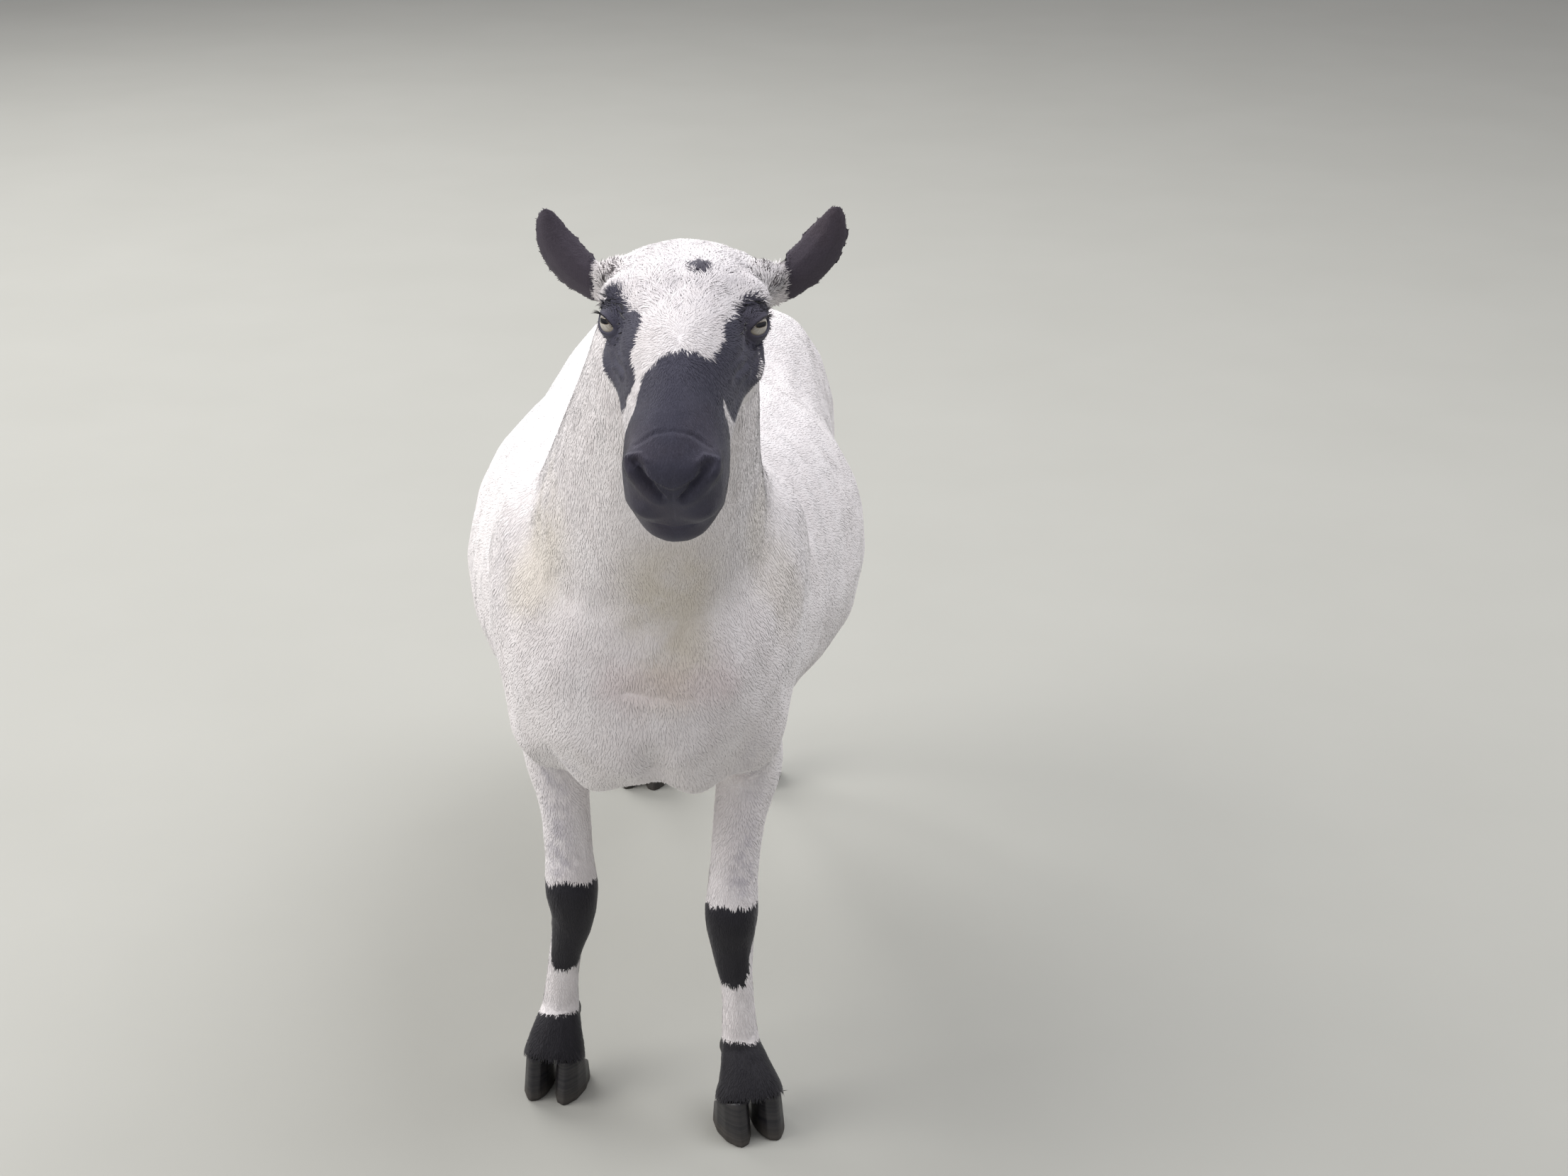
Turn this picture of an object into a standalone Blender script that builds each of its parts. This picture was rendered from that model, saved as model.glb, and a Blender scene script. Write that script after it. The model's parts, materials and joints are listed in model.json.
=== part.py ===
"""A life-size standing ewe of an upland breed, newly shorn, with pricked ears and cloven feet.

The body is one skin of lofts and muscle forms, joined, smoothed and then parted with thin cuts
into head, neck, trunk, tail and legs. Ears, eyes, claws and dewclaws are pieces of their own.

Frame while modelling: metres, +Z up, the floor at Z = 0, the ewe facing -Y, her left side at +X,
and the origin on the floor between her fore feet. At the end everything moves so that the origin
is on the floor under the middle of the whole model.
"""

import math

import bmesh
import bpy
import numpy as np
from mathutils import Matrix, Vector

# ---------------------------------------------------------------- driving dimensions
GAP = 0.0003  # between neighbouring solids
VOXEL = 0.006  # grain of the joined skin
BODY_TRIANGLES = 5200  # of the joined skin, before it is parted
SWAY = 0.014  # the ribs stand this far to her right of the line of her feet
HALF_BEND = 0.72  # the rump is back on that line here

HEAD_PITCH = math.radians(25.0)  # the face falls forward by this much
HEAD_YAW = math.radians(0.9)  # the nose turns to the ewe's left
HEAD_ROLL = math.radians(1.0)  # her left eye is lower
EYES_AT = Vector((0.0599, -0.238, 0.866))  # midway between the eyes
EARS_MIDDLE = 0.0588  # x midway between the ears
EYE_FROM_NOSE = 0.150
EYE_SPREAD = 0.0485  # half the distance between the eyeballs' centres
EYE_RADIUS = 0.0145
LID_OPENING = (0.0125, 0.0090, 0.0110)  # half its length, half its height, its depth
EYE_ASIDE = math.radians(58)  # each eye looks this far outward from straight ahead

EAR_WIDTH = 0.039
EAR_THICKNESS = 0.0055
EAR_ROOT = Vector((0.047, -0.178, 0.868))  # of the left ear, from the middle of the head
EAR_CUP = 0.22  # depth of the scoop, per width
# each ear's rise above level at its root, how much more at its tip, and its backward sweep
EARS = {
    "left": dict(length=0.105, lean=24, curl=62, back=0.10),
    "right": dict(length=0.102, lean=16, curl=76, back=0.28),
}

KNEE_HEIGHT = 0.218
HOCK_HEIGHT = 0.235
FETLOCK_HEIGHT = 0.076
CORONET_HEIGHT = 0.036
CLAW_LENGTH = 0.066
CLAW_WIDTH = 0.031
CLAW_CLEFT = 0.005  # between a foot's two claws
CLAW_SIDES = 12
CORONET_SLOPE = math.radians(20)  # the coronet falls toward the heel

# ---------------------------------------------------------------- scene, collections, materials
for old in list(bpy.data.objects):
    bpy.data.objects.remove(old, do_unlink=True)

ewe = bpy.data.collections.new("ewe")
bpy.context.scene.collection.children.link(ewe)
cutters = bpy.data.collections.new("cutters")
bpy.context.scene.collection.children.link(cutters)


def material(name, colour, roughness):
    """A plain Principled finish."""
    made = bpy.data.materials.new(name)
    made.use_nodes = True
    shader = made.node_tree.nodes["Principled BSDF"]
    shader.inputs["Base Color"].default_value = (*colour, 1.0)
    shader.inputs["Roughness"].default_value = roughness
    shader.inputs["Metallic"].default_value = 0.0
    return made


FLEECE = material("fleece", (0.82, 0.79, 0.76), 0.9)
DARK_HAIR = material("dark_hair", (0.035, 0.032, 0.038), 0.75)
HORN = material("horn", (0.045, 0.040, 0.038), 0.5)
EYE = material("eye", (0.62, 0.55, 0.36), 0.08)


# ---------------------------------------------------------------- shaping tools
def smooth_rows(stations, count):
    """count rows on a smooth curve through the stations, spaced by the stations' own order."""
    rows = np.array(stations, float)
    knots = np.arange(len(rows))
    slopes = np.gradient(rows, axis=0)
    at = np.linspace(0, len(rows) - 1, count)
    low = np.minimum(at.astype(int), len(rows) - 2)
    t = (at - knots[low])[:, None]
    a, b, da, db = rows[low], rows[low + 1], slopes[low], slopes[low + 1]
    return (
        a * (1 + 2 * t) * (1 - t) ** 2
        + da * t * (1 - t) ** 2
        + b * t**2 * (3 - 2 * t)
        + db * t**2 * (t - 1)
    )


def loft(name, stations, count=40, around=32, frame=Matrix.Identity(4)):
    """A closed form through rings. A station is x, y, z, half width, reach above, reach below,
    squareness above and squareness below; 2 is round. Above is the back or the front of a leg."""
    rows = smooth_rows(stations, count)
    spine = rows[:, :3]
    ahead = np.gradient(spine, axis=0)
    ahead /= np.linalg.norm(ahead, axis=1)[:, None]
    across = np.array([1.0, 0, 0]) - ahead[:, :1] * ahead
    across /= np.linalg.norm(across, axis=1)[:, None]
    above = np.cross(ahead, across)
    turn = np.linspace(0, 2 * math.pi, around, endpoint=False)
    c, s = np.cos(turn), np.sin(turn)
    mesh = bmesh.new()
    rings = []
    for i, row in enumerate(rows):
        power = 2 / np.where(s > 0, row[6], row[7])
        side = row[3] * np.sign(c) * np.abs(c) ** power
        height = np.where(s > 0, row[4], row[5]) * np.sign(s) * np.abs(s) ** power
        ring = spine[i] + side[:, None] * across[i] + height[:, None] * above[i]
        rings.append([mesh.verts.new(p) for p in ring])
    for one, two in zip(rings, rings[1:]):
        for k in range(around):
            n = (k + 1) % around
            mesh.faces.new((one[k], one[n], two[n], two[k]))
    mesh.faces.new(rings[0][::-1])
    mesh.faces.new(rings[-1])
    bmesh.ops.transform(mesh, matrix=frame, verts=mesh.verts)
    bmesh.ops.recalc_face_normals(mesh, faces=mesh.faces)
    return finished(name, mesh)


def bulge(name, centre, radii, turn=(0, 0, 0), frame=Matrix.Identity(4)):
    """A muscle or bone that shows as a rounded form: an ellipsoid with its own turn, in degrees."""
    mesh = bmesh.new()
    bmesh.ops.create_uvsphere(mesh, u_segments=24, v_segments=16, radius=1.0)
    spin = Matrix.Identity(4)
    for angle, axis in zip(turn, "XYZ"):
        spin = Matrix.Rotation(math.radians(angle), 4, axis) @ spin
    place = frame @ Matrix.Translation(centre) @ spin @ Matrix.Diagonal((*radii, 1.0))
    bmesh.ops.transform(mesh, matrix=place, verts=mesh.verts)
    bmesh.ops.recalc_face_normals(mesh, faces=mesh.faces)
    return finished(name, mesh)


def finished(name, mesh, collection=ewe):
    """Turns a bmesh into an object."""
    data = bpy.data.meshes.new(name)
    mesh.to_mesh(data)
    mesh.free()
    made = bpy.data.objects.new(name, data)
    collection.objects.link(made)
    return made


def applied(obj):
    """Bakes an object's modifiers into its mesh."""
    graph = bpy.context.evaluated_depsgraph_get()
    data = bpy.data.meshes.new_from_object(obj.evaluated_get(graph))
    obj.modifiers.clear()
    obj.data = data
    return obj


def joined(name, forms):
    """All forms in one mesh object; they still cross each other."""
    mesh = bmesh.new()
    for form in forms:
        mesh.from_mesh(form.data)
        bpy.data.objects.remove(form, do_unlink=True)
    return finished(name, mesh)


def mirrored_pair(maker):
    """The forms that maker(side) gives for her left, +1, and her right, -1."""
    return [form for side in (1, -1) for form in maker(side)]


def sway(y):
    """How far the spine lies to her left at this distance behind the fore feet."""
    return -SWAY * math.sin(math.pi * y / HALF_BEND)


# ---------------------------------------------------------------- trunk and neck
def trunk_forms():
    """Barrel, rump and breast. Stations run from the buttocks forward."""
    profile = [
        # y, height of the widest line, half width, rise to the back, drop to the belly
        (0.744, 0.500, 0.038, 0.044, 0.046, 2.0, 2.0),  # buttocks
        (0.720, 0.503, 0.090, 0.078, 0.082, 2.0, 2.0),
        (0.660, 0.508, 0.138, 0.126, 0.115, 2.2, 2.0),  # pin bones
        (0.575, 0.504, 0.156, 0.149, 0.134, 2.2, 2.0),  # rump
        (0.485, 0.484, 0.174, 0.162, 0.146, 2.0, 2.2),  # hooks and flank
        (0.390, 0.464, 0.203, 0.183, 0.152, 1.95, 2.3),  # last ribs, the widest
        (0.290, 0.460, 0.203, 0.190, 0.146, 1.95, 2.3),
        (0.190, 0.468, 0.183, 0.189, 0.138, 2.0, 2.2),  # girth
        (0.100, 0.482, 0.158, 0.180, 0.130, 2.0, 2.1),  # withers
        (0.020, 0.484, 0.142, 0.166, 0.114, 2.0, 2.2),  # shoulders
        (-0.045, 0.472, 0.120, 0.135, 0.100, 2.0, 2.2),  # points of the shoulders
        (-0.088, 0.467, 0.082, 0.090, 0.078, 2.0, 2.0),  # breast
        (-0.104, 0.467, 0.035, 0.045, 0.045, 2.0, 2.0),
    ]
    stations = [(sway(y), y, z, w, up, down, nu, nd) for y, z, w, up, down, nu, nd in profile]
    forms = [loft("barrel", stations, count=60, around=48)]

    def sides(side):
        at = lambda x, y, z: (sway(y) + side * x, y, z)
        return [
            bulge("shoulder", at(0.092, 0.050, 0.500), (0.054, 0.095, 0.140), (-18, side * 8, 0)),
            bulge("upper_arm", at(0.092, 0.014, 0.430), (0.040, 0.068, 0.072), (25, 0, 0)),
            bulge("haunch", at(0.092, 0.625, 0.500), (0.064, 0.108, 0.125), (12, side * -6, 0)),
            bulge("brisket", at(0.042, -0.010, 0.400), (0.036, 0.075, 0.046)),
        ]

    return forms + mirrored_pair(sides)


def neck_forms():
    """The neck, from inside the shoulders up to the back of the skull."""
    stations = [
        (0.000, 0.120, 0.500, 0.120, 0.142, 0.140, 2, 2),
        (0.002, 0.060, 0.560, 0.122, 0.140, 0.140, 2, 2),
        (0.008, 0.000, 0.625, 0.106, 0.126, 0.122, 2, 2),
        (0.020, -0.050, 0.695, 0.090, 0.110, 0.102, 2, 2),
        (0.034, -0.092, 0.762, 0.079, 0.094, 0.086, 2, 2),
        (0.044, -0.128, 0.818, 0.069, 0.070, 0.072, 2, 2),
        (0.049, -0.155, 0.850, 0.052, 0.044, 0.050, 2, 2),
    ]
    return [loft("neck_core", stations, count=36, around=40)]


# ---------------------------------------------------------------- head
def head_frame():
    """From head coordinates to the model: x to her left, y back from the nose, z up off the face."""
    back = Vector(
        (
            -math.sin(HEAD_YAW) * math.cos(HEAD_PITCH),
            math.cos(HEAD_YAW) * math.cos(HEAD_PITCH),
            math.sin(HEAD_PITCH),
        )
    )
    left = Vector((math.cos(HEAD_YAW), math.sin(HEAD_YAW), 0))
    left = Matrix.Rotation(HEAD_ROLL, 3, back) @ left
    up = left.cross(back)
    nose = EYES_AT - EYE_FROM_NOSE * back
    frame = Matrix((left, back, up)).transposed().to_4x4()
    frame.translation = nose
    return frame


HEAD = head_frame()


def head_forms():
    """Skull, muzzle and jaw. Stations run from the back of the skull to the lips."""
    profile = [
        # y back from the nose, height of the widest line, half width, rise, drop
        (0.255, -0.030, 0.030, 0.022, 0.030, 2.0, 2.0),
        (0.240, -0.028, 0.046, 0.036, 0.045, 2.0, 2.0),
        (0.222, -0.022, 0.057, 0.040, 0.060, 2.5, 2.0),  # poll
        (0.198, -0.018, 0.0610, 0.050, 0.068, 2.6, 2.0),
        (0.172, -0.018, 0.0600, 0.061, 0.069, 2.5, 2.0),  # forehead and jaw angle
        (0.150, -0.020, 0.0565, 0.061, 0.064, 2.4, 2.0),  # between the eyes
        (0.122, -0.026, 0.0525, 0.061, 0.054, 2.1, 2.1),
        (0.092, -0.032, 0.0450, 0.061, 0.046, 2.0, 2.2),  # cheek
        (0.066, -0.036, 0.0396, 0.059, 0.043, 2.0, 2.3),  # bridge of the nose
        (0.042, -0.040, 0.0400, 0.057, 0.044, 2.1, 2.4),
        (0.022, -0.042, 0.0390, 0.051, 0.048, 2.2, 2.4),  # lips
        (0.010, -0.043, 0.0345, 0.044, 0.047, 2.2, 2.3),
        (0.001, -0.045, 0.0240, 0.030, 0.036, 2.0, 2.0),
        (-0.003, -0.046, 0.0100, 0.013, 0.015, 2.0, 2.0),  # tip of the muzzle
    ]
    stations = [(0.0, y, z, w, up, down, nu, nd) for y, z, w, up, down, nu, nd in profile]
    forms = [loft("skull", stations, count=60, around=40, frame=HEAD)]

    def sides(side):
        def part(name, x, y, z, radii, turn=(0, 0, 0)):
            tilt = (turn[0], turn[1] * side, turn[2] * side)
            return bulge(name, (side * x, y, z), radii, tilt, HEAD)

        return [
            part("brow", 0.0460, 0.168, 0.010, (0.0228, 0.024, 0.019), (0, 20, 0)),
            part("cheekbone", 0.0440, 0.140, -0.025, (0.0195, 0.034, 0.016), (0, 0, 6)),
            part("masseter", 0.038, 0.165, -0.050, (0.022, 0.044, 0.034), (-6, 0, 0)),
            part("nostril_wing", 0.0235, 0.015, -0.012, (0.0145, 0.018, 0.013), (0, 0, 10)),
            part("upper_lip", 0.0175, 0.018, -0.048, (0.0190, 0.024, 0.018)),
            part("ear_root", 0.053, 0.204, -0.002, (0.020, 0.018, 0.019)),
        ]

    forms += mirrored_pair(sides)
    forms.append(bulge("chin", (0, 0.025, -0.075), (0.030, 0.026, 0.0210), frame=HEAD))
    return forms


# ---------------------------------------------------------------- legs
# Each foot: side, where its knee or hock stands, where its toes point and how broad it is.
FORE_FEET = {
    "left": dict(
        side=1, knee=(0.0735, 0.003), fetlock=(0.0815, -0.004), toe=(0.104, -0.060), elbow=0.058, broad=1.0
    ),
    "right": dict(
        side=-1, knee=(-0.083, 0.042), fetlock=(-0.100, 0.050), toe=(-0.109, -0.004), elbow=0.070, broad=0.92
    ),
}
HIND_FEET = {
    "left": dict(side=1, hock=(0.064, 0.738), fetlock=(0.053, 0.722), toe=(0.044, 0.668), broad=0.95),
    "right": dict(side=-1, hock=(-0.086, 0.732), fetlock=(-0.085, 0.716), toe=(-0.088, 0.662), broad=0.95),
}


def between(a, b, t):
    return tuple(p + (q - p) * t for p, q in zip(a, b))


def foot_stations(foot):
    """Fetlock, pastern and coronet, leaning forward over the claws."""
    fx, fy = foot["fetlock"]
    ax, ay = between(foot["fetlock"], foot["toe"], 0.26)
    cx, cy = between(foot["fetlock"], foot["toe"], 0.44)
    broad = foot["broad"]
    return [
        (fx, fy, FETLOCK_HEIGHT, 0.0205, 0.0195, 0.0250, 2.2, 2.2),
        (ax, ay, 0.057, 0.0270, 0.0220, 0.0240, 2.3, 2.2),
        (cx, cy, CORONET_HEIGHT, 0.0345 * broad, 0.0285, 0.0290, 2.5, 2.3),
        (cx, cy - 0.004, 0.014, 0.0345 * broad, 0.0285, 0.0290, 2.5, 2.3),
    ]


def foreleg_forms(foot):
    """Upper arm to coronet. Above, in the stations, is the front of the leg."""
    side = foot["side"]
    kx, ky = foot["knee"]
    fx, fy = foot["fetlock"]
    elbow = foot["elbow"]
    ux = sway(elbow) + side * 0.092
    mid = between((ux, elbow), (kx, ky), 0.55)
    low = between((ux, elbow), (kx, ky), 0.86)
    cannon = between((kx, ky), (fx, fy), 0.55)
    above = between((kx, ky), (fx, fy), 0.85)
    stations = [
        (ux - side * 0.010, elbow - 0.012, 0.480, 0.036, 0.055, 0.055, 2, 2),
        (ux - side * 0.006, elbow - 0.004, 0.415, 0.039, 0.054, 0.052, 2, 2),  # elbow
        (ux + side * 0.001, elbow - 0.004, 0.362, 0.0375, 0.044, 0.040, 2, 2),
        (*mid, 0.310, 0.0275, 0.0310, 0.0300, 2, 2),  # forearm
        (*low, 0.258, 0.0245, 0.0240, 0.0240, 2, 2),
        (kx, ky, KNEE_HEIGHT, 0.0268, 0.0265, 0.0245, 2.3, 2.2),  # knee
        (kx, ky + 0.001, 0.184, 0.0222, 0.0215, 0.0220, 2.2, 2.2),
        (*cannon, 0.142, 0.0172, 0.0165, 0.0185, 2.1, 2.1),  # cannon
        (*above, 0.103, 0.0178, 0.0170, 0.0200, 2.1, 2.1),
    ] + foot_stations(foot)
    return [loft("foreleg_core", stations, count=64, around=28)]


def hindleg_forms(foot):
    """Thigh to coronet, with the stifle forward and the hock behind."""
    side = foot["side"]
    hx, hy = foot["hock"]
    fx, fy = foot["fetlock"]
    hip = sway(0.6)
    calf = between((hip + side * 0.101, hy - 0.120), (hx, hy), 0.38)
    low = between((hip + side * 0.101, hy - 0.120), (hx, hy), 0.76)
    cannon = between((hx, hy), (fx, fy), 0.60)
    above = between((hx, hy), (fx, fy), 0.88)
    stations = [
        (hip + side * 0.085, hy - 0.105, 0.520, 0.058, 0.105, 0.080, 2, 2),
        (hip + side * 0.094, hy - 0.125, 0.450, 0.056, 0.092, 0.088, 2, 2),  # thigh
        (hip + side * 0.100, hy - 0.120, 0.385, 0.045, 0.062, 0.072, 2, 2),  # stifle
        (*calf, 0.328, 0.0320, 0.040, 0.046, 2, 2),
        (*low, 0.276, 0.0240, 0.026, 0.036, 2, 2),
        (hx, hy, HOCK_HEIGHT, 0.0235, 0.0255, 0.0290, 2.2, 2.2),  # hock
        (hx, hy + 0.002, 0.196, 0.0205, 0.0205, 0.0220, 2.2, 2.2),
        (*cannon, 0.150, 0.0175, 0.0165, 0.0185, 2.1, 2.1),  # cannon
        (*above, 0.103, 0.0182, 0.0172, 0.0202, 2.1, 2.1),
    ] + foot_stations(foot)
    return [
        loft("hindleg_core", stations, count=64, around=28),
        bulge("point_of_hock", (hx, hy + 0.012, HOCK_HEIGHT + 0.008), (0.0150, 0.0200, 0.030), (-20, 0, 0)),
    ]


# ---------------------------------------------------------------- tail
def tail_forms():
    """A docked tail that hangs free of the buttocks."""
    x = sway(0.7)
    stations = [
        (x, 0.660, 0.600, 0.036, 0.028, 0.028, 2, 2),
        (x, 0.715, 0.596, 0.031, 0.023, 0.023, 2, 2),
        (x, 0.757, 0.574, 0.027, 0.019, 0.019, 2, 2),
        (x, 0.774, 0.530, 0.025, 0.017, 0.017, 2, 2),
        (x, 0.778, 0.488, 0.018, 0.013, 0.013, 2, 2),
        (x, 0.779, 0.470, 0.006, 0.005, 0.005, 2, 2),
    ]
    return [loft("tail_core", stations, count=28, around=20)]


# ---------------------------------------------------------------- the joined skin
def joined_skin():
    """Every flesh form as one closed mesh: voxels join them, smoothing blends the muscles."""
    forms = trunk_forms() + neck_forms() + head_forms() + tail_forms()
    for foot in FORE_FEET.values():
        forms += foreleg_forms(foot)
    for foot in HIND_FEET.values():
        forms += hindleg_forms(foot)
    body = joined("body", forms)
    remesh = body.modifiers.new("join", "REMESH")
    remesh.mode = "VOXEL"
    remesh.voxel_size = VOXEL
    remesh.use_smooth_shade = True
    applied(body)
    broad = body.vertex_groups.new(name="broad")
    sparse = body.vertex_groups.new(name="sparse")
    for vertex in body.data.vertices:
        z = vertex.co.z
        ahead = vertex.co.y < EYES_AT.y + 0.07
        weight = 0.0 if ahead else min(max((z - 0.27) / 0.10, 0.0), 1.0)
        broad.add([vertex.index], weight, "REPLACE")
        sparse.add([vertex.index], 0.0 if ahead else max(weight, 0.6), "REPLACE")
    blend = body.modifiers.new("blend_muscles", "SMOOTH")
    blend.factor = 0.5
    blend.iterations = 40
    blend.vertex_group = "broad"
    fine = body.modifiers.new("soften", "SMOOTH")
    fine.factor = 0.5
    fine.iterations = 2
    count = sum(len(p.vertices) - 2 for p in body.data.polygons)
    even = body.modifiers.new("thin_out", "DECIMATE")
    even.ratio = 2.2 * BODY_TRIANGLES / count
    coarse = body.modifiers.new("thin_out_the_trunk", "DECIMATE")
    coarse.ratio = 1 / 2.2
    coarse.vertex_group = "sparse"
    coarse.vertex_group_factor = 0.02
    coarse.use_collapse_triangulate = True
    applied(body)
    body.vertex_groups.clear()
    return body


# ---------------------------------------------------------------- cutting it into parts
def slab(name, centre, size, turn=(0, 0, 0)):
    """A box that cuts; its turn is in degrees about X, then Y, then Z."""
    mesh = bmesh.new()
    bmesh.ops.create_cube(mesh, size=1.0)
    spin = Matrix.Identity(4)
    for angle, axis in zip(turn, "XYZ"):
        spin = Matrix.Rotation(math.radians(angle), 4, axis) @ spin
    place = Matrix.Translation(centre) @ spin @ Matrix.Diagonal((*size, 1.0))
    bmesh.ops.transform(mesh, matrix=place, verts=mesh.verts)
    return as_cutter(finished(name, mesh, cutters))


def as_cutter(obj):
    obj.hide_render = True
    obj.display_type = "WIRE"
    return obj


def cut(obj, tools):
    """Takes every tool's volume out of the object."""
    for tool in tools:
        boolean = obj.modifiers.new("cut_" + tool.name, "BOOLEAN")
        boolean.operation = "DIFFERENCE"
        boolean.solver = "EXACT"
        boolean.object = tool
    return applied(obj)


def loose_pieces(obj):
    """The object's separate closed bodies, as lists of vertex sets with their centres."""
    mesh = bmesh.new()
    mesh.from_mesh(obj.data)
    left = set(mesh.verts)
    pieces = []
    while left:
        seed = left.pop()
        piece = {seed}
        edge = [seed]
        while edge:
            vertex = edge.pop()
            for link in vertex.link_edges:
                other = link.other_vert(vertex)
                if other in left:
                    left.remove(other)
                    piece.add(other)
                    edge.append(other)
        pieces.append(piece)
    return mesh, pieces


def parted(body, names):
    """Splits a cut body into named objects. names(centre) gives the name of the piece there."""
    mesh, pieces = loose_pieces(body)
    made = {}
    for piece in pieces:
        centre = sum((v.co for v in piece), Vector()) / len(piece)
        part = bmesh.new()
        same = {v: part.verts.new(v.co) for v in piece}
        for face in mesh.faces:
            if face.verts[0] in same:
                part.faces.new([same[v] for v in face.verts])
        name = names(centre)
        made[name] = finished(name, part)
    mesh.free()
    bpy.data.objects.remove(body, do_unlink=True)
    return made


def inflated(obj, name, by):
    """A cutter that stands off an object's surface."""
    copy = bpy.data.objects.new(name, obj.data.copy())
    cutters.objects.link(copy)
    out = copy.modifiers.new("stand_off", "DISPLACE")
    out.strength = by
    out.mid_level = 0.0
    return as_cutter(applied(copy))


def coronet_slabs():
    """One block under each leg takes the leg off along the slanting top of its claws."""
    made = []
    for kind, feet in (("fore", FORE_FEET), ("hind", HIND_FEET)):
        for label, foot in feet.items():
            x, y, turn = foot_centre(foot)
            block = Matrix.Translation((x, y, CORONET_HEIGHT)) @ Matrix.Rotation(turn, 4, "Z")
            block @= Matrix.Rotation(-CORONET_SLOPE, 4, "X") @ Matrix.Translation((0, 0, -0.04))
            mesh = bmesh.new()
            bmesh.ops.create_cube(mesh, size=1.0)
            block @= Matrix.Diagonal((0.09, 0.12, 0.08, 1.0))
            bmesh.ops.transform(mesh, matrix=block, verts=mesh.verts)
            made.append(as_cutter(finished(f"coronet_{kind}_{label}", mesh, cutters)))
    return made


def foot_centre(foot):
    """Where the claws' middle stands and how far the foot is turned about the vertical."""
    (fx, fy), (tx, ty) = foot["fetlock"], foot["toe"]
    way = Vector((tx - fx, ty - fy)).normalized()
    turn = math.atan2(way.x, -way.y)
    return tx - way.x * CLAW_LENGTH / 2, ty - way.y * CLAW_LENGTH / 2, turn


def leg_slabs():
    """Thin cuts: forearm from chest, shank from forearm, gaskin from thigh, shank from gaskin."""
    made = []
    for label, foot in FORE_FEET.items():
        side, elbow = foot["side"], foot["elbow"]
        x = sway(elbow) + side * 0.088
        kx, ky = foot["knee"]
        made.append(slab(f"elbow_{label}", (x, elbow, 0.352), (0.110, 0.16, GAP)))
        made.append(slab(f"knee_{label}", (kx, ky, 0.188), (0.09, 0.10, GAP)))
    for label, foot in HIND_FEET.items():
        hx, hy = foot["hock"]
        x = sway(0.6) + foot["side"] * 0.098
        made.append(slab(f"stifle_{label}", (x, hy - 0.105, 0.350), (0.13, 0.24, GAP), (28, 0, 0)))
        made.append(slab(f"hock_{label}", (hx, hy, 0.205), (0.09, 0.13, GAP)))
    return made


def body_cuts():
    """The cuts across neck, throat and tail."""
    return [
        slab("neck_cut", (0.012, -0.030, 0.600), (0.44, 0.48, GAP), (37, 0, 0)),
        slab("throat_cut", (0.046, -0.137, 0.835), (0.26, 0.34, GAP), (61, 0, 0)),
        slab("tail_cut", (sway(0.7), 0.747, 0.535), (0.09, 0.17, GAP), (-82, 0, 0)),
    ]


# ---------------------------------------------------------------- eyes and ears
def eyes():
    made = {}
    for label, side in (("left", 1), ("right", -1)):
        ball = eye_form(side, Vector(), (EYE_RADIUS,) * 3)
        made[f"eye_{label}"] = finished(f"eye_{label}", ball)
    return made


def eye_form(side, offset, radii):
    """An ellipsoid round an eye's centre, its poles along the gaze."""
    centre = Vector((side * EYE_SPREAD, EYE_FROM_NOSE, 0))
    gaze = Vector((side * math.sin(EYE_ASIDE), -math.cos(EYE_ASIDE), 0.10)).normalized()
    mesh = bmesh.new()
    bmesh.ops.create_uvsphere(mesh, u_segments=14, v_segments=8, radius=1.0)
    turn = gaze.to_track_quat("Z", "Y").to_matrix().to_4x4()
    place = HEAD @ Matrix.Translation(centre) @ turn @ Matrix.Translation(offset)
    bmesh.ops.transform(mesh, matrix=place @ Matrix.Diagonal((*radii, 1.0)), verts=mesh.verts)
    return mesh


def sockets():
    """The hollow round each eyeball, and the opening between the lids that it looks out of."""
    made = []
    for label, side in (("left", 1), ("right", -1)):
        lids = eye_form(side, Vector((0, 0, EYE_RADIUS)), LID_OPENING)
        made.append(as_cutter(finished(f"lids_{label}", lids, cutters)))
        socket = eye_form(side, Vector(), (EYE_RADIUS + GAP,) * 3)
        made.append(as_cutter(finished(f"socket_{label}", socket, cutters)))
    return made


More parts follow.
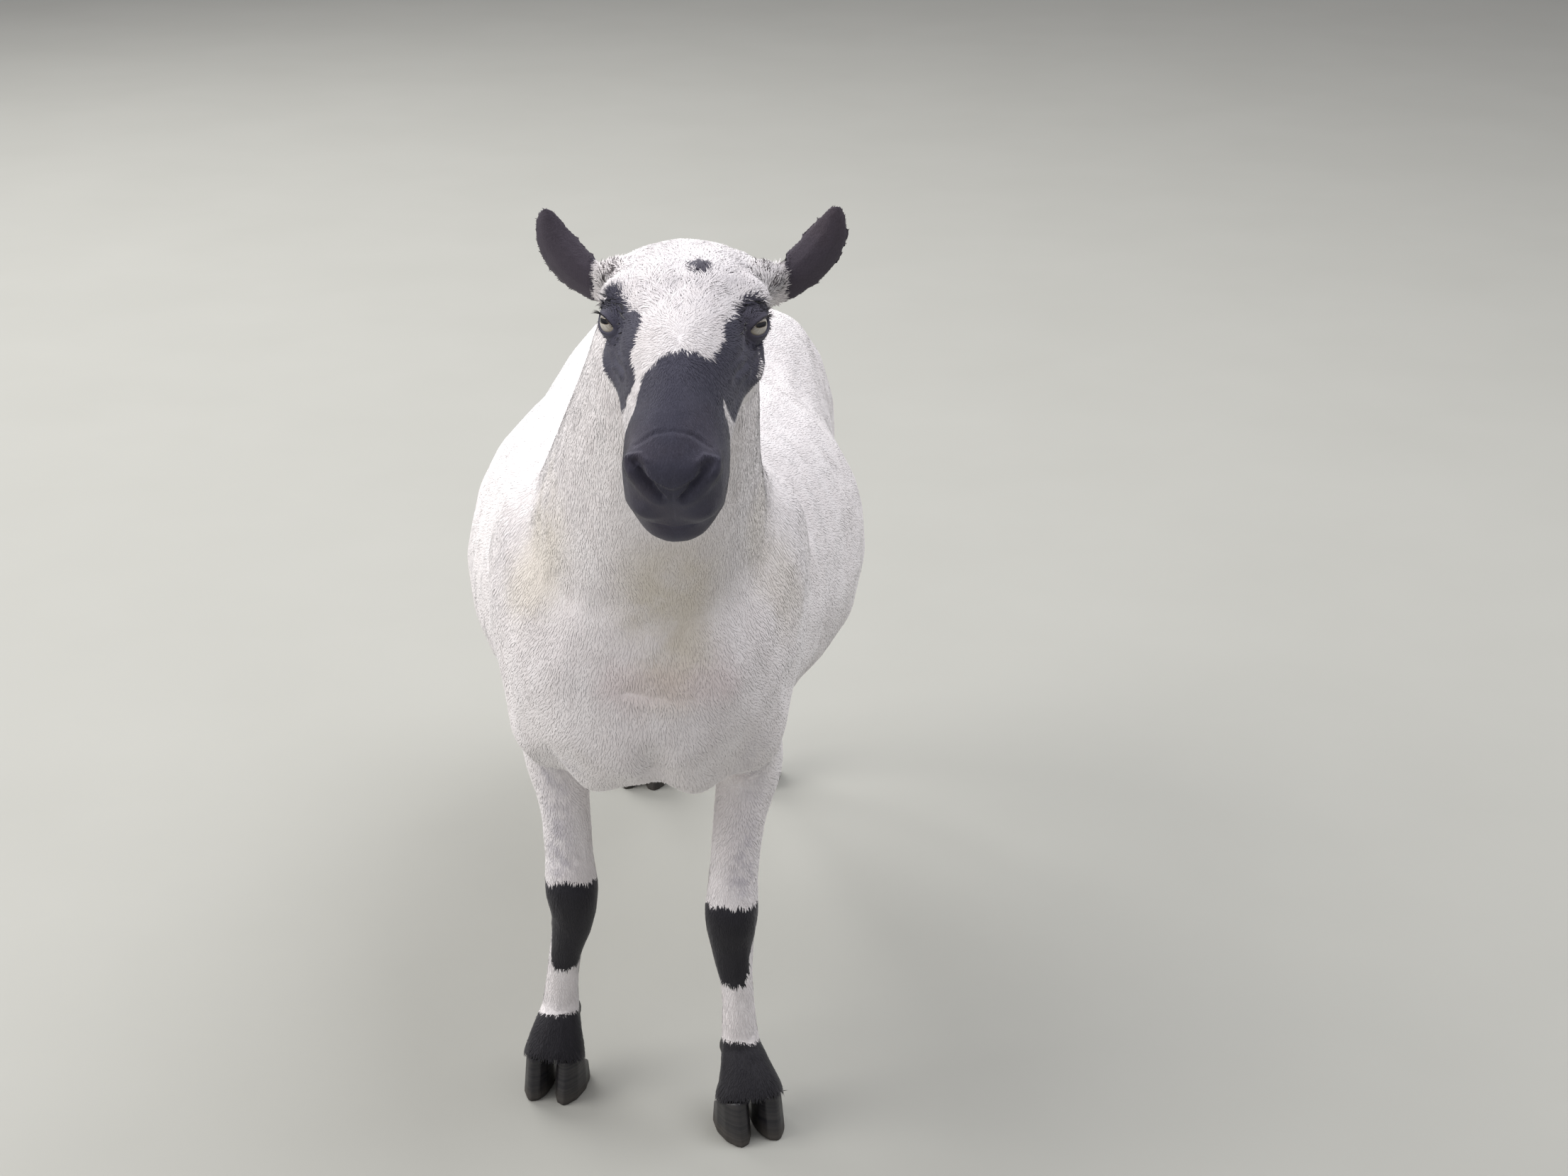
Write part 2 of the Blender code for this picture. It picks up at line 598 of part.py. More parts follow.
def ear(label, side):
    """A cupped leaf that leaves the head sideways, with its tip curled up. Rings run outward."""
    count, around = 11, 10
    pose = EARS[label]
    point = EAR_ROOT.copy()
    before = 0.0
    mesh = bmesh.new()
    rings = []
    for i in range(count):
        t = math.sin(math.pi / 2 * i / (count - 1))
        lean = math.radians(pose["lean"] + pose["curl"] * t**2)
        along = Vector((math.cos(lean), pose["back"] * math.cos(lean), math.sin(lean))).normalized()
        across = Vector((-math.sin(lean), 0.0, math.cos(lean)))
        across = (across - across.dot(along) * along).normalized()
        out = along.cross(across)
        point += along * pose["length"] * (t - before)
        before = t
        width = EAR_WIDTH * min(0.70 + 0.6 * t, 1.0)
        width *= math.sqrt(1.0 - (max(t - 0.5, 0.0) / 0.51) ** 2)
        thick = EAR_THICKNESS * (1.9 - 1.2 * t)
        ring = []
        for k in range(around):
            a = 2 * math.pi * k / around
            u, v = math.cos(a), math.sin(a)
            cup = EAR_CUP * width * (0.5 - u * u) * min(2 * t, 1.0)
            spot = point + across * (u * width / 2) + out * (v * thick / 2 + cup)
            ring.append(mesh.verts.new((side * spot.x, spot.y, spot.z)))
        rings.append(ring)
    for one, two in zip(rings, rings[1:]):
        for k in range(around):
            n = (k + 1) % around
            mesh.faces.new((one[k], one[n], two[n], two[k]))
    mesh.faces.new(rings[0][::-1])
    mesh.faces.new(rings[-1])
    bmesh.ops.transform(mesh, matrix=Matrix.Translation((EARS_MIDDLE, 0, 0)), verts=mesh.verts)
    bmesh.ops.recalc_face_normals(mesh, faces=mesh.faces)
    return finished(f"ear_{label}", mesh)


# ---------------------------------------------------------------- feet
def claw(name, foot, inner):
    """One half of a cloven hoof: flat sole, upright wall, top along the coronet."""
    x, y, turn = foot_centre(foot)
    half = CLAW_CLEFT / 2
    width = CLAW_WIDTH * foot["broad"]
    mesh = bmesh.new()
    levels = (0.0, 0.004, 0.5, 1.0)
    rings = []
    for level in levels:
        ring = []
        inset = 0.0015 if level == 0.0 else 0.0
        for k in range(CLAW_SIDES):
            a = 2 * math.pi * k / CLAW_SIDES
            u, v = math.cos(a), math.sin(a)
            toe = max(-v, 0.0)
            outer = u > 0  # the wall facing the other claw is the straighter one
            taper = (0.62 if outer else 0.12) * toe**2
            flare = 1.0 - (0.12 if outer else 0.0) * level
            across = width / 2 * math.copysign(abs(u) ** 0.75, u) * (1 - taper)
            along = CLAW_LENGTH / 2 * math.copysign(abs(v) ** 0.85, v)
            px = (across * flare) * (1 - inset / (width / 2))
            py = along * (1 - inset / (CLAW_LENGTH / 2)) * (1 - 0.22 * level)
            py += 0.004 * level
            top = CORONET_HEIGHT - GAP - py * math.tan(CORONET_SLOPE)
            ring.append((px + half + width / 2, py, top * level))
        rings.append([mesh.verts.new((p[0] * inner, p[1], p[2])) for p in ring])
    for one, two in zip(rings, rings[1:]):
        for k in range(CLAW_SIDES):
            n = (k + 1) % CLAW_SIDES
            mesh.faces.new((one[k], one[n], two[n], two[k]))
    mesh.faces.new(rings[0])
    mesh.faces.new(rings[-1])
    place = Matrix.Translation((x, y, 0)) @ Matrix.Rotation(turn, 4, "Z")
    bmesh.ops.transform(mesh, matrix=place, verts=mesh.verts)
    bmesh.ops.recalc_face_normals(mesh, faces=mesh.faces)
    return finished(name, mesh)


def dewclaw(name, foot, inner):
    """A small horny knob behind the fetlock."""
    fx, fy = foot["fetlock"]
    _, _, turn = foot_centre(foot)
    offset = Matrix.Rotation(turn, 4, "Z") @ Vector((inner * 0.0090, 0.0215, -0.012))
    mesh = bmesh.new()
    bmesh.ops.create_uvsphere(mesh, u_segments=8, v_segments=5, radius=1.0)
    place = Matrix.Translation(Vector((fx, fy, FETLOCK_HEIGHT)) + offset)
    place @= Matrix.Rotation(math.radians(-32), 4, "X") @ Matrix.Diagonal((0.0058, 0.0068, 0.0105, 1.0))
    bmesh.ops.transform(mesh, matrix=place, verts=mesh.verts)
    return finished(name, mesh)


# ---------------------------------------------------------------- put together
def part_name(centre):
    """Names a piece of the cut body from where its middle is."""
    x, y, z = centre
    side = "left" if x > 0 else "right"
    if y > 0.60 and z > 0.42:
        return "tail"
    if y < -0.14 and z > 0.6:
        return "head"
    if z > 0.55 and y < 0.05:
        return "neck"
    if z > 0.38:
        return "trunk"
    kind = "fore" if y < 0.3 else "hind"
    upper = z > (0.19 if kind == "fore" else 0.215)
    return f"{kind}_{'leg' if upper else 'shank'}_{side}"


def build():
    body = cut(joined_skin(), body_cuts() + leg_slabs() + coronet_slabs() + sockets())
    parts = parted(body, part_name)
    parts.update(eyes())
    stand_off = inflated(parts["head"], "head_stand_off", GAP)
    for label, side in (("left", 1), ("right", -1)):
        parts[f"ear_{label}"] = cut(ear(label, side), [stand_off])
    for kind, feet in (("fore", FORE_FEET), ("hind", HIND_FEET)):
        for label, foot in feet.items():
            shank = inflated(parts[f"{kind}_shank_{label}"], f"{kind}_{label}_stand_off", GAP)
            for word, inner in (("inner", -foot["side"]), ("outer", foot["side"])):
                name = f"claw_{kind}_{label}_{word}"
                parts[name] = claw(name, foot, inner)
                name = f"dewclaw_{kind}_{label}_{word}"
                parts[name] = cut(dewclaw(name, foot, inner), [shank])
    for name, part in parts.items():
        finish = FLEECE
        if name.startswith("ear"):
            finish = DARK_HAIR
        if "claw" in name:
            finish = HORN
        if name.startswith("eye"):
            finish = EYE
        part.data.materials.clear()
        part.data.materials.append(finish)
        for polygon in part.data.polygons:
            polygon.use_smooth = True
            polygon.material_index = 0
    return parts


PARTS = build()
corners = np.array([p.matrix_world @ v.co for p in PARTS.values() for v in p.data.vertices])
low, high = corners.min(axis=0), corners.max(axis=0)
SHIFT = Vector((-(low[0] + high[0]) / 2, -(low[1] + high[1]) / 2, -low[2]))
for thing in list(ewe.objects) + list(cutters.objects):
    thing.data.transform(Matrix.Translation(SHIFT))
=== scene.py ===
"""A life-size ewe, newly shorn, standing on a pale studio floor.

One skin is drawn over the flesh solids and sculpted, eyes and hooves sit in it as pieces of their
own, and a coat of small solid tufts grows from it. Lengths are in metres; the ewe faces -Y.
"""

import json
import math

import bmesh
import bpy
import numpy as np
from mathutils import Matrix, Vector
from mathutils.bvhtree import BVHTree

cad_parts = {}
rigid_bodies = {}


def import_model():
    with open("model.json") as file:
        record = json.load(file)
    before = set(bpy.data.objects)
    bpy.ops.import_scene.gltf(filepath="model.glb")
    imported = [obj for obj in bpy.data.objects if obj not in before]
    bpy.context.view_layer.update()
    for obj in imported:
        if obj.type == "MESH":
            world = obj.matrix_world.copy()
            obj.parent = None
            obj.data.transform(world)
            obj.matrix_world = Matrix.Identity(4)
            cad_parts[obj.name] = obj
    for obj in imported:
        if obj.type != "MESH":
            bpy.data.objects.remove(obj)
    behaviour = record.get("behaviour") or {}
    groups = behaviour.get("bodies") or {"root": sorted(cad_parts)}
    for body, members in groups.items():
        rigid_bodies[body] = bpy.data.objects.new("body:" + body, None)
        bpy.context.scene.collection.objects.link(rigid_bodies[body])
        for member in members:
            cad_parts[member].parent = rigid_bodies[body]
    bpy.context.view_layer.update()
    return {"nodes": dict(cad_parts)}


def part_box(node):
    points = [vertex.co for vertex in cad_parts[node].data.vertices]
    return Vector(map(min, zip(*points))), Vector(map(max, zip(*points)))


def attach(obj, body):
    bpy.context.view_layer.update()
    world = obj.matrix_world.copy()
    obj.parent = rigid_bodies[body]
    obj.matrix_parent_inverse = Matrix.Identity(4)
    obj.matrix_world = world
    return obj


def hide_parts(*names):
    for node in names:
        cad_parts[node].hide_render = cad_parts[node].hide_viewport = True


scene = bpy.context.scene
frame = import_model()
mm = 0.001

# ---- how the ewe stands
# Two sets of axes serve every piece: her head's own, from the tip of the nose, and the body's,
# from the floor between her fore feet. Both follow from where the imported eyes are.
HEAD_PITCH = math.radians(25.0)
HEAD_YAW = math.radians(0.9)
HEAD_ROLL = math.radians(1.0)
EYE_FROM_NOSE = 0.150
EYES_FROM_FEET = Vector((0.0599, -0.238, 0.0))


def middle(node):
    low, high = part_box(node)
    return (Vector(low) + Vector(high)) / 2


eyes_middle = (middle("eye_left") + middle("eye_right")) / 2


def level_way(turn, rise):
    """The way from front to back, turned about the upright and tipped up."""
    return Vector((-math.sin(turn) * math.cos(rise), math.cos(turn) * math.cos(rise), math.sin(rise)))


back = level_way(HEAD_YAW, HEAD_PITCH)
left = Matrix.Rotation(HEAD_ROLL, 3, back) @ Vector((math.cos(HEAD_YAW), math.sin(HEAD_YAW), 0))
HEAD_AXES = np.array((left, back, left.cross(back)))
NOSE = np.array(eyes_middle - EYE_FROM_NOSE * back)
FEET = np.array((eyes_middle.x - EYES_FROM_FEET.x, eyes_middle.y - EYES_FROM_FEET.y, 0.0))


def to_head(places):
    """x to her left, y back from the nose, z up off the face."""
    return (places - NOSE) @ HEAD_AXES.T


def ease(value, start, end):
    """0 at start, 1 at end, smooth between."""
    t = np.clip((value - start) / (end - start), 0.0, 1.0)
    return t * t * (3 - 2 * t)


def lengths(ways):
    return np.linalg.norm(ways, axis=1)


def unit(way):
    return way / np.linalg.norm(way)


def turned(one, two, share):
    """The rows of one, turning into two as share goes from 0 to 1."""
    return one * (1 - share[:, None]) + np.array(two) * share[:, None]


# ---- camera, floor and lights
# A camera at a standing person's face height looks down at her from just left of straight ahead.
# Soft lamps stand high to each side of her and behind, with a weak one in front.
CAMERA_FROM_EYES = Vector((0.1708, -1.815, 0.549))
CAMERA_DROP = math.radians(22.8)
CAMERA_TURN = math.radians(3.0)
LENS, SENSOR = 57.6, 36.0


def shown(name, data):
    piece = bpy.data.objects.new(name, data)
    scene.collection.objects.link(piece)
    return piece


world = bpy.data.worlds.new("studio")
world.use_nodes = True
sky = world.node_tree.nodes["Background"].inputs
sky["Color"].default_value = (0.96, 0.95, 1.0, 1)
sky["Strength"].default_value = 0.43
scene.world = world
scene.view_settings.view_transform = "Standard"

camera = shown("camera", bpy.data.cameras.new("camera"))
camera.data.lens, camera.data.sensor_width = LENS, SENSOR
camera.location = eyes_middle + CAMERA_FROM_EYES
camera.rotation_euler = level_way(CAMERA_TURN, -CAMERA_DROP).to_track_quat("-Z", "Y").to_euler()
scene.camera = camera

# place, size, power and colour of each lamp, all aimed at her chest
LAMPS = {
    "left": ((-4.0, -0.6, 3.6), 3.0, 150, (1.0, 0.98, 0.96)),
    "rear": ((-2.4, 3.6, 4.0), 3.0, 200, (1.0, 0.99, 0.98)),
    "right": ((2.0, 0.6, 4.8), 3.0, 150, (0.98, 0.98, 1.0)),
    "front": ((-3.0, -3.6, 2.6), 3.4, 35, (1.0, 0.97, 0.95)),
}
CHEST = Vector((0.03, -0.15, 0.5))
for name, (place, size, power, colour) in LAMPS.items():
    lamp = shown(f"{name}_lamp", bpy.data.lights.new(name, "AREA"))
    lamp.data.size, lamp.data.energy, lamp.data.color = size, power, colour
    lamp.location = place
    lamp.rotation_euler = (CHEST - Vector(place)).to_track_quat("-Z", "Y").to_euler()


class Value:
    """A node's output. Python's sums and products of values add Math nodes."""

    def __init__(self, net, socket):
        self.net, self.socket = net, socket

    def math(self, operation, *rest):
        return self.net.node("ShaderNodeMath", {"operation": operation}, dict(enumerate((self, *rest))))

    def __add__(self, other):
        return self.math("ADD", other)

    def __sub__(self, other):
        return self.math("SUBTRACT", other)

    def __mul__(self, other):
        return self.math("MULTIPLY", other)

    def ease(self, start, end, low=0.0, high=1.0):
        """low up to start, high from end, smooth between."""
        sockets = {"Value": self, "From Min": start, "From Max": end, "To Min": low, "To Max": high}
        return self.net.node("ShaderNodeMapRange", {"interpolation_type": "SMOOTHSTEP"}, sockets)


class Net:
    """A node tree being made, for a material or for a coat."""

    def __init__(self, tree):
        self.tree = tree

    def node(self, kind, settings=None, sockets=None, output=0):
        node = self.tree.nodes.new(kind)
        for key, value in (settings or {}).items():
            setattr(node, key, value)
        for key, value in (sockets or {}).items():
            if isinstance(value, Value):
                self.tree.links.new(value.socket, node.inputs[key])
            else:
                node.inputs[key].default_value = value
        return Value(self, node.outputs[output])

    def noise(self, place, scale, detail=3.0, rough=0.55):
        sockets = {"Vector": place, "Scale": scale, "Detail": detail, "Roughness": rough}
        return self.node("ShaderNodeTexNoise", {}, sockets)

    def mix(self, share, one, two):
        """Colour one, turning into two as share goes from 0 to 1."""
        sockets = {0: share, 6: one, 7: two}
        return self.node("ShaderNodeMix", {"data_type": "RGBA"}, sockets, output=2)


class Finish(Net):
    """A material being made round one Principled shader, whose constants are set here."""

    def __init__(self, name, **constants):
        self.material = bpy.data.materials.new(name)
        self.material.use_nodes = True
        super().__init__(self.material.node_tree)
        self.shader = self.tree.nodes["Principled BSDF"]
        for key, value in constants.items():
            self.shader.inputs[key.replace("_", " ")].default_value = value

    def feed(self, socket, value):
        self.tree.links.new(value.socket, self.shader.inputs[socket])

    def own_place(self):
        return self.node("ShaderNodeTexCoord", {}, {}, output="Object")

    def stretched(self, place, scale):
        return self.node("ShaderNodeMapping", {}, {"Vector": place, "Scale": scale})

    def attribute(self, name, output="Fac"):
        return self.node("ShaderNodeAttribute", {"attribute_name": name}, {}, output=output)

    def bump(self, height, distance, strength):
        sockets = {"Height": height, "Distance": distance, "Strength": strength}
        return self.node("ShaderNodeBump", {}, sockets)


FLOOR_REACH = 30.0
floor_finish = Finish("studio_floor", Roughness=0.85)
paint = floor_finish.noise(floor_finish.own_place(), 3.0)
floor_finish.feed("Base Color", floor_finish.mix(paint, (0.36, 0.36, 0.33, 1), (0.39, 0.39, 0.36, 1)))
floor_mesh = bpy.data.meshes.new("floor")
corners = [(-1, -1), (1, -1), (1, 1), (-1, 1)]
floor_mesh.from_pydata([(x * FLOOR_REACH, y * FLOOR_REACH, 0) for x, y in corners], [], [(0, 1, 2, 3)])
floor_mesh.materials.append(floor_finish.material)
shown("floor", floor_mesh)

# ---- skin
# One skin covers skull, neck, trunk, legs, tail and ears. It lies below the tips of the coat by
# the coat's depth, and is drawn over the joined flesh solids so that none of their cuts shows.
SWELL = 0.0004  # closes the cuts between the solids
SKIN_GRAIN = 0.0023
SKIN_FACES = 170000
BODY_ROUNDS = 110  # of smoothing where the form is broad
WEIGHT_STEPS = 24

flesh = [n for n in frame["nodes"] if not n.startswith(("eye", "claw", "dewclaw"))]


def made(name, work):
    """The bmesh as a new mesh."""
    mesh = bpy.data.meshes.new(name)
    work.to_mesh(mesh)
    work.free()
    return mesh


def settle(piece):
    """Puts the evaluated mesh in the place of the piece's own, and drops its modifiers."""
    graph = bpy.context.evaluated_depsgraph_get()
    mesh = bpy.data.meshes.new_from_object(piece.evaluated_get(graph))
    piece.modifiers.clear()
    piece.data = mesh


def rows(items, key):
    """A vector that each item has, such as each vertex's place, as the rows of an array."""
    flat = np.empty(len(items) * 3, dtype=np.float32)
    items.foreach_get(key, flat)
    return flat.reshape(-1, 3).astype(float)


def places_of(mesh):
    return rows(mesh.vertices, "co")


def put_places(mesh, places):
    mesh.vertices.foreach_set("co", places.astype(np.float32).ravel())
    mesh.update()


def note(mesh, name, values, kind="FLOAT", domain="POINT"):
    """Writes the values on the mesh as an attribute."""
    flat = np.asarray(values, np.int32 if kind == "INT" else np.float32).ravel()
    key = "vector" if kind == "FLOAT_VECTOR" else "value"
    mesh.attributes.new(name, kind, domain).data.foreach_set(key, flat)


def normals_of(mesh):
    return rows(mesh.vertex_normals, "vector")


def weigh(piece, name, weights):
    """A vertex group holding the weights, in equal steps."""
    group = piece.vertex_groups.new(name=name)
    level = np.round(np.clip(weights, 0, 1) * WEIGHT_STEPS).astype(int)
    for k in range(1, WEIGHT_STEPS + 1):
        group.add(np.flatnonzero(level == k).tolist(), k / WEIGHT_STEPS, "REPLACE")


def head_depth(places):
    """Above 0 in front of the nape and throat, below 0 in the neck."""
    h = to_head(places)
    return -((h[:, 1] - 0.205) * 0.75 - (h[:, 2] + 0.050) * 0.66)


def ear_reach(places):
    """How far out along an ear a place is, below 0 in the head and body."""
    h = to_head(places)
    behind = ease(h[:, 1], 0.172, 0.184) * ease(h[:, 2], -0.065, -0.055)
    return (np.abs(h[:, 0]) - 0.074) * behind - 0.02 * (1 - behind)


joined = bmesh.new()
for name in flesh:
    joined.from_mesh(frame["nodes"][name].data)
bmesh.ops.remove_doubles(joined, verts=joined.verts, dist=1e-6)
joined.normal_update()
for vert in joined.verts:
    vert.co += vert.normal * SWELL
skin = shown("skin", made("skin", joined))
grain = skin.modifiers.new("grain", "REMESH")
grain.mode, grain.voxel_size = "VOXEL", SKIN_GRAIN
settle(skin)

spots = places_of(skin.data)
low = spots[:, 2] - FEET[2]
broad = ease(low, 0.26, 0.42)
broad = broad * (1 - 0.90 * ease(head_depth(spots), -0.03, 0.02)) + 0.10 * (1 - broad)
broad = np.where(ear_reach(spots) > 0, 0.03, broad)
weigh(skin, "broad", broad)
smooth = skin.modifiers.new("smooth", "SMOOTH")
smooth.factor, smooth.iterations, smooth.vertex_group = 0.5, BODY_ROUNDS, "broad"
settle(skin)

# The coat is deepest on the fleece and forehead and thinnest on ears, muzzle and feet.
FLEECE_DEPTH, LEG_DEPTH, EAR_DEPTH = 0.0030, 0.0013, 0.0005
FOREHEAD_DEPTH, FACE_DEPTH, MUZZLE_DEPTH = 0.0048, 0.0010, 0.0003
WHORL = np.array((0.0, 0.100, 0.031))  # where the hair of the face parts, between the eyes


def in_head(places):
    return ease(head_depth(places), -0.012, 0.012)


def on_forehead(h):
    """The woolly brow and crown, between the ears and above the whorl."""
    return ease(h[:, 1], 0.105, 0.150) * ease(h[:, 2], -0.005, 0.015)


def coat_depth(places):
    h = to_head(places)
    low = places[:, 2] - FEET[2]
    head, brow = in_head(places), on_forehead(h)
    leg = 1 - ease(low, 0.24, 0.38)
    face = FACE_DEPTH + (FOREHEAD_DEPTH - FACE_DEPTH) * brow
    face += (MUZZLE_DEPTH - FACE_DEPTH) * (1 - ease(h[:, 1], 0.050, 0.090))
    depth = FLEECE_DEPTH + (LEG_DEPTH - FLEECE_DEPTH) * leg
    depth = depth * (1 - head) + face * head
    return np.where(ear_reach(places) > 0, EAR_DEPTH, depth)


spots = places_of(skin.data)
put_places(skin.data, spots - normals_of(skin.data) * (SWELL + coat_depth(spots))[:, None])

# The muzzle and the skin round the eyes are drawn finer, for the nostrils, lips and lids.
fine = bmesh.new()
fine.from_mesh(skin.data)
spots = to_head(np.array([v.co for v in fine.verts]))
eye_side = np.abs(spots) - (0.052, 0, 0)
near_eye = lengths((eye_side - (0, 0.150, 0))[:, :2]) < 0.026
near_eye &= np.abs(spots[:, 2]) < 0.030
on_muzzle = (spots[:, 1] < 0.040) & (spots[:, 2] > -0.12) & (np.abs(spots[:, 0]) < 0.06)
on_muzzle |= near_eye & (np.abs(spots[:, 0]) > 0.03)
chosen = [e for e in fine.edges if on_muzzle[e.verts[0].index] and on_muzzle[e.verts[1].index]]
bmesh.ops.subdivide_edges(fine, edges=chosen, cuts=1, use_grid_fill=True)
bmesh.ops.triangulate(fine, faces=[f for f in fine.faces if len(f.verts) > 4])
fine.to_mesh(skin.data)
fine.free()


def chain_gap(places, path, radii=0.0):
    """Distance from each place to a bent line given in mm, less the line's own radius there."""
    gap = np.full(len(places), 9.0)
    path, radii = np.array(path, float) * mm, np.broadcast_to(radii, len(path))
    for a, b, ra, rb in zip(path, path[1:], radii, radii[1:]):
        along = np.clip(((places - a) @ (b - a)) / ((b - a) @ (b - a)), 0, 1)
        reach = lengths(places - a - along[:, None] * (b - a))
        gap = np.minimum(gap, reach - ra - along * (rb - ra))
    return gap


# Sculpted lines of the head, in head axes: path, half width, height (below 0 is a groove).
# Those off the middle are repeated on her right side.
NOSTRIL = [(27.5, 5, -3.5), (24.4, 2, -6.0), (21.0, -1.5, -13)]
NOSTRIL += [(15.2, -4, -20.5), (10.4, -5.2, -26.3), (7.6, -5.6, -29.4)]
PAIRED_LINES = {
    "nostril": (NOSTRIL, 2.2, -4.6, (1.8, 2.4, 1.5, 0.9, 0.3, 0)),
    "nostril_floor": (NOSTRIL[1:4], 2.0, -2.2),
    "nostril_wing": ([(33, 9, -6), (31, 4, -14), (25, 0, -24), (16, -4, -32), (9, -6, -36)], 4.0, 1.0),
    "nostril_end": ([(6.5, -6, -31.5), (8.5, -6, -31)], 1.5, 0.9),
    "nostril_top": ([(19, 6, -3), (23, 10, -0.5), (29, 10, -1.5), (33, 11, -5)], 2.2, 1.0),
    "nose_pad": ([(14, 4, -5), (10, -1, -10), (3, -4, -12)], 6.0, 1.0),
    "pad_rim": ([(20, -1, -9.4), (15.2, -2.5, -12.0), (8.6, -4.8, -15.0), (1, -5.9, -17.8)], 1.3, 0.9),
    "pad_hollow": ([(14, -3.5, -16.0), (8, -5.2, -19.5), (3, -6, -22.5)], 2.3, -1.3),
    "wing_fold": ([(27, 18.3, 0), (20, 20.3, 4.0), (13.5, 22.3, 7.5)], 2.2, -0.45),
    "wing_swell": ([(27, 21.5, 1.5), (20, 24, 5.2), (12, 25.5, 9)], 2.6, 0.3),
    "bridge_fold": ([(12, 22.5, 8), (0, 23, 10)], 2.0, -0.4),
    "upper_lip": ([(5, -3, -48), (15, 0, -52), (27, 8, -52), (31, 20, -56)], 7.0, 0.5),
    "mouth": ([(0, 0, -66.5), (12, 2, -65), (24, 8, -62.5), (30, 22, -64), (34, 44, -68)], 1.2, -0.8),
    "lower_lip": ([(0, 5, -73), (12, 6, -72), (21, 12, -69), (27, 26, -72)], 4.0, 0.2),
    "cheek_fold_upper": ([(56, 133, -10.5), (52.5, 124, -8)], 2.3, 1.2),
    "cheek_fold_lower": ([(50, 113, -12), (45, 99, -8.5)], 2.3, 1.3),
    "cheek_fold_inner": ([(47.5, 115, -1), (41, 99, 4)], 2.3, 1.1),
    "cheek_groove": ([(49.5, 116, -6.5), (43.5, 99, -2.5)], 2.0, -1.3),
    "face_crest": ([(46, 118, -20), (40, 90, -24), (37, 70, -28)], 6.0, 1.6),
    "tear_groove": ([(46, 128, 2), (40, 112, 0), (37, 96, -4)], 4.0, -1.6),
    "temple": ([(58, 178, -2), (60, 190, -14)], 9.0, -2.0),
    "jaw_line": ([(47, 190, -62), (36, 150, -82), (27, 110, -84)], 8.0, 1.2),
}
MIDDLE_LINES = {
    "lip_cleft": ([(0, -6, -22), (0, -7, -34), (0, -4, -46), (0, -1, -58)], 1.2, -1.1),
    "brow_dip": ([(0, 150, 42), (0, 185, 40)], 12.0, -1.2),
    "chin_groove": ([(0, 30, -92), (0, 70, -88), (0, 120, -92)], 7.0, -1.5),
}


def stroke(places, path, width, height, radii=0.0):
    gap = chain_gap(places, path, np.array(radii) * mm)
    return height * mm * np.exp(-((np.maximum(gap, 0) / (width * mm)) ** 2))


skin.data.update()
spots = places_of(skin.data)
h = to_head(spots)
chosen = np.flatnonzero(head_depth(spots) > -0.02)
face = h[chosen]
folded = np.abs(face * (1, 0, 0)) + face * (0, 1, 1)
lift = np.zeros(len(face))
for line in PAIRED_LINES.values():
    lift += stroke(folded, *line)
for line in MIDDLE_LINES.values():
    lift += stroke(face, *line)
spots[chosen] += normals_of(skin.data)[chosen] * lift[:, None]

# Sculpted lines of the body, from the floor between the fore feet, in the same way.
BODY_LINES = {
    "breast_crease": ([(-8, -98, 493), (12, -102, 489), (34, -103, 487), (56, -99, 488)], 5, -1.3),
    "breast_fold": ([(0, -98, 508), (35, -104, 503), (58, -97, 505)], 14, 0.7),
    "breast_cleft": ([(14, -110, 425), (15, -95, 408), (16, -60, 398), (16, -10, 396)], 15, -13.0),
    "shoulder_point_left": ([(128, 70, 600), (146, 110, 540), (148, 100, 480), (138, 100, 420)], 20, 3.0),
    "shoulder_point_right": ([(-142, 110, 600), (-140, 40, 540), (-128, 0, 480), (-112, -10, 420)], 20, 3.0),
    "elbow_left": ([(110, 60, 380), (100, 95, 350)], 22, -5.0),
    "elbow_right": ([(-105, 70, 380), (-96, 100, 350)], 22, -5.0),
    "flank_left": ([(128, 470, 500), (110, 500, 420), (90, 520, 380)], 26, -6.0),
    "flank_right": ([(-150, 470, 500), (-132, 500, 420), (-110, 520, 380)], 26, -6.0),
    "spine": ([(-8, 130, 660), (-12, 300, 640), (-10, 480, 640), (0, 600, 625)], 16, -1.5),
}
body = spots - FEET
lift = np.zeros(len(spots))
for line in BODY_LINES.values():
    lift += stroke(body, *line)
spots += normals_of(skin.data) * lift[:, None]
put_places(skin.data, spots)

# The lids are drawn last, as two thick rims that lie on each eyeball and run into the face.
EYE_RADIUS = 0.0145
# the way the lids face, aside from straight ahead and upwards; their inner corner is lower
LIDS_WAY = math.radians(52), math.radians(6), math.radians(12)
LID_HALF_LENGTH = 0.0106
LID_UPPER, LID_LOWER = 0.0050, 0.0064  # half heights of the opening
# mm outwards from the opening and above the eyeball, from under the rim to its crest
LID_RIM = ((-0.6, -0.7), (-0.15, 0.6), (0.0, 1.4), (0.5, 2.0))
LID_REACH = (0.0240, 0.0180)  # where the lid has run into the face, across and up
LID_STEPS = 12
LID_SIDES = 56


def eye_axes(side, aside, upward, tilt):
    """Centre, the way it faces, outwards along it and up, of an eye or of its lids."""
    centre = np.array(middle("eye_left" if side > 0 else "eye_right"))
    level = np.array((side * math.sin(aside), -math.cos(aside), 0.0))
    facing = level * math.cos(upward) + (0, 0, math.sin(upward))
    outer = np.array((side * math.cos(aside), math.sin(aside), math.tan(tilt)))
    outer = unit(outer - facing * (facing @ outer))
    return centre, facing, outer, np.cross(facing, outer) * side


def opening(angle):
    """A point of the lids' opening, seen along the gaze: rounded, with drawn-out corners."""
    x, y = math.cos(angle), math.sin(angle)
    y *= 1 - 0.14 * abs(x) ** 3
    return np.array((LID_HALF_LENGTH * x, (LID_UPPER if y > 0 else LID_LOWER) * y))


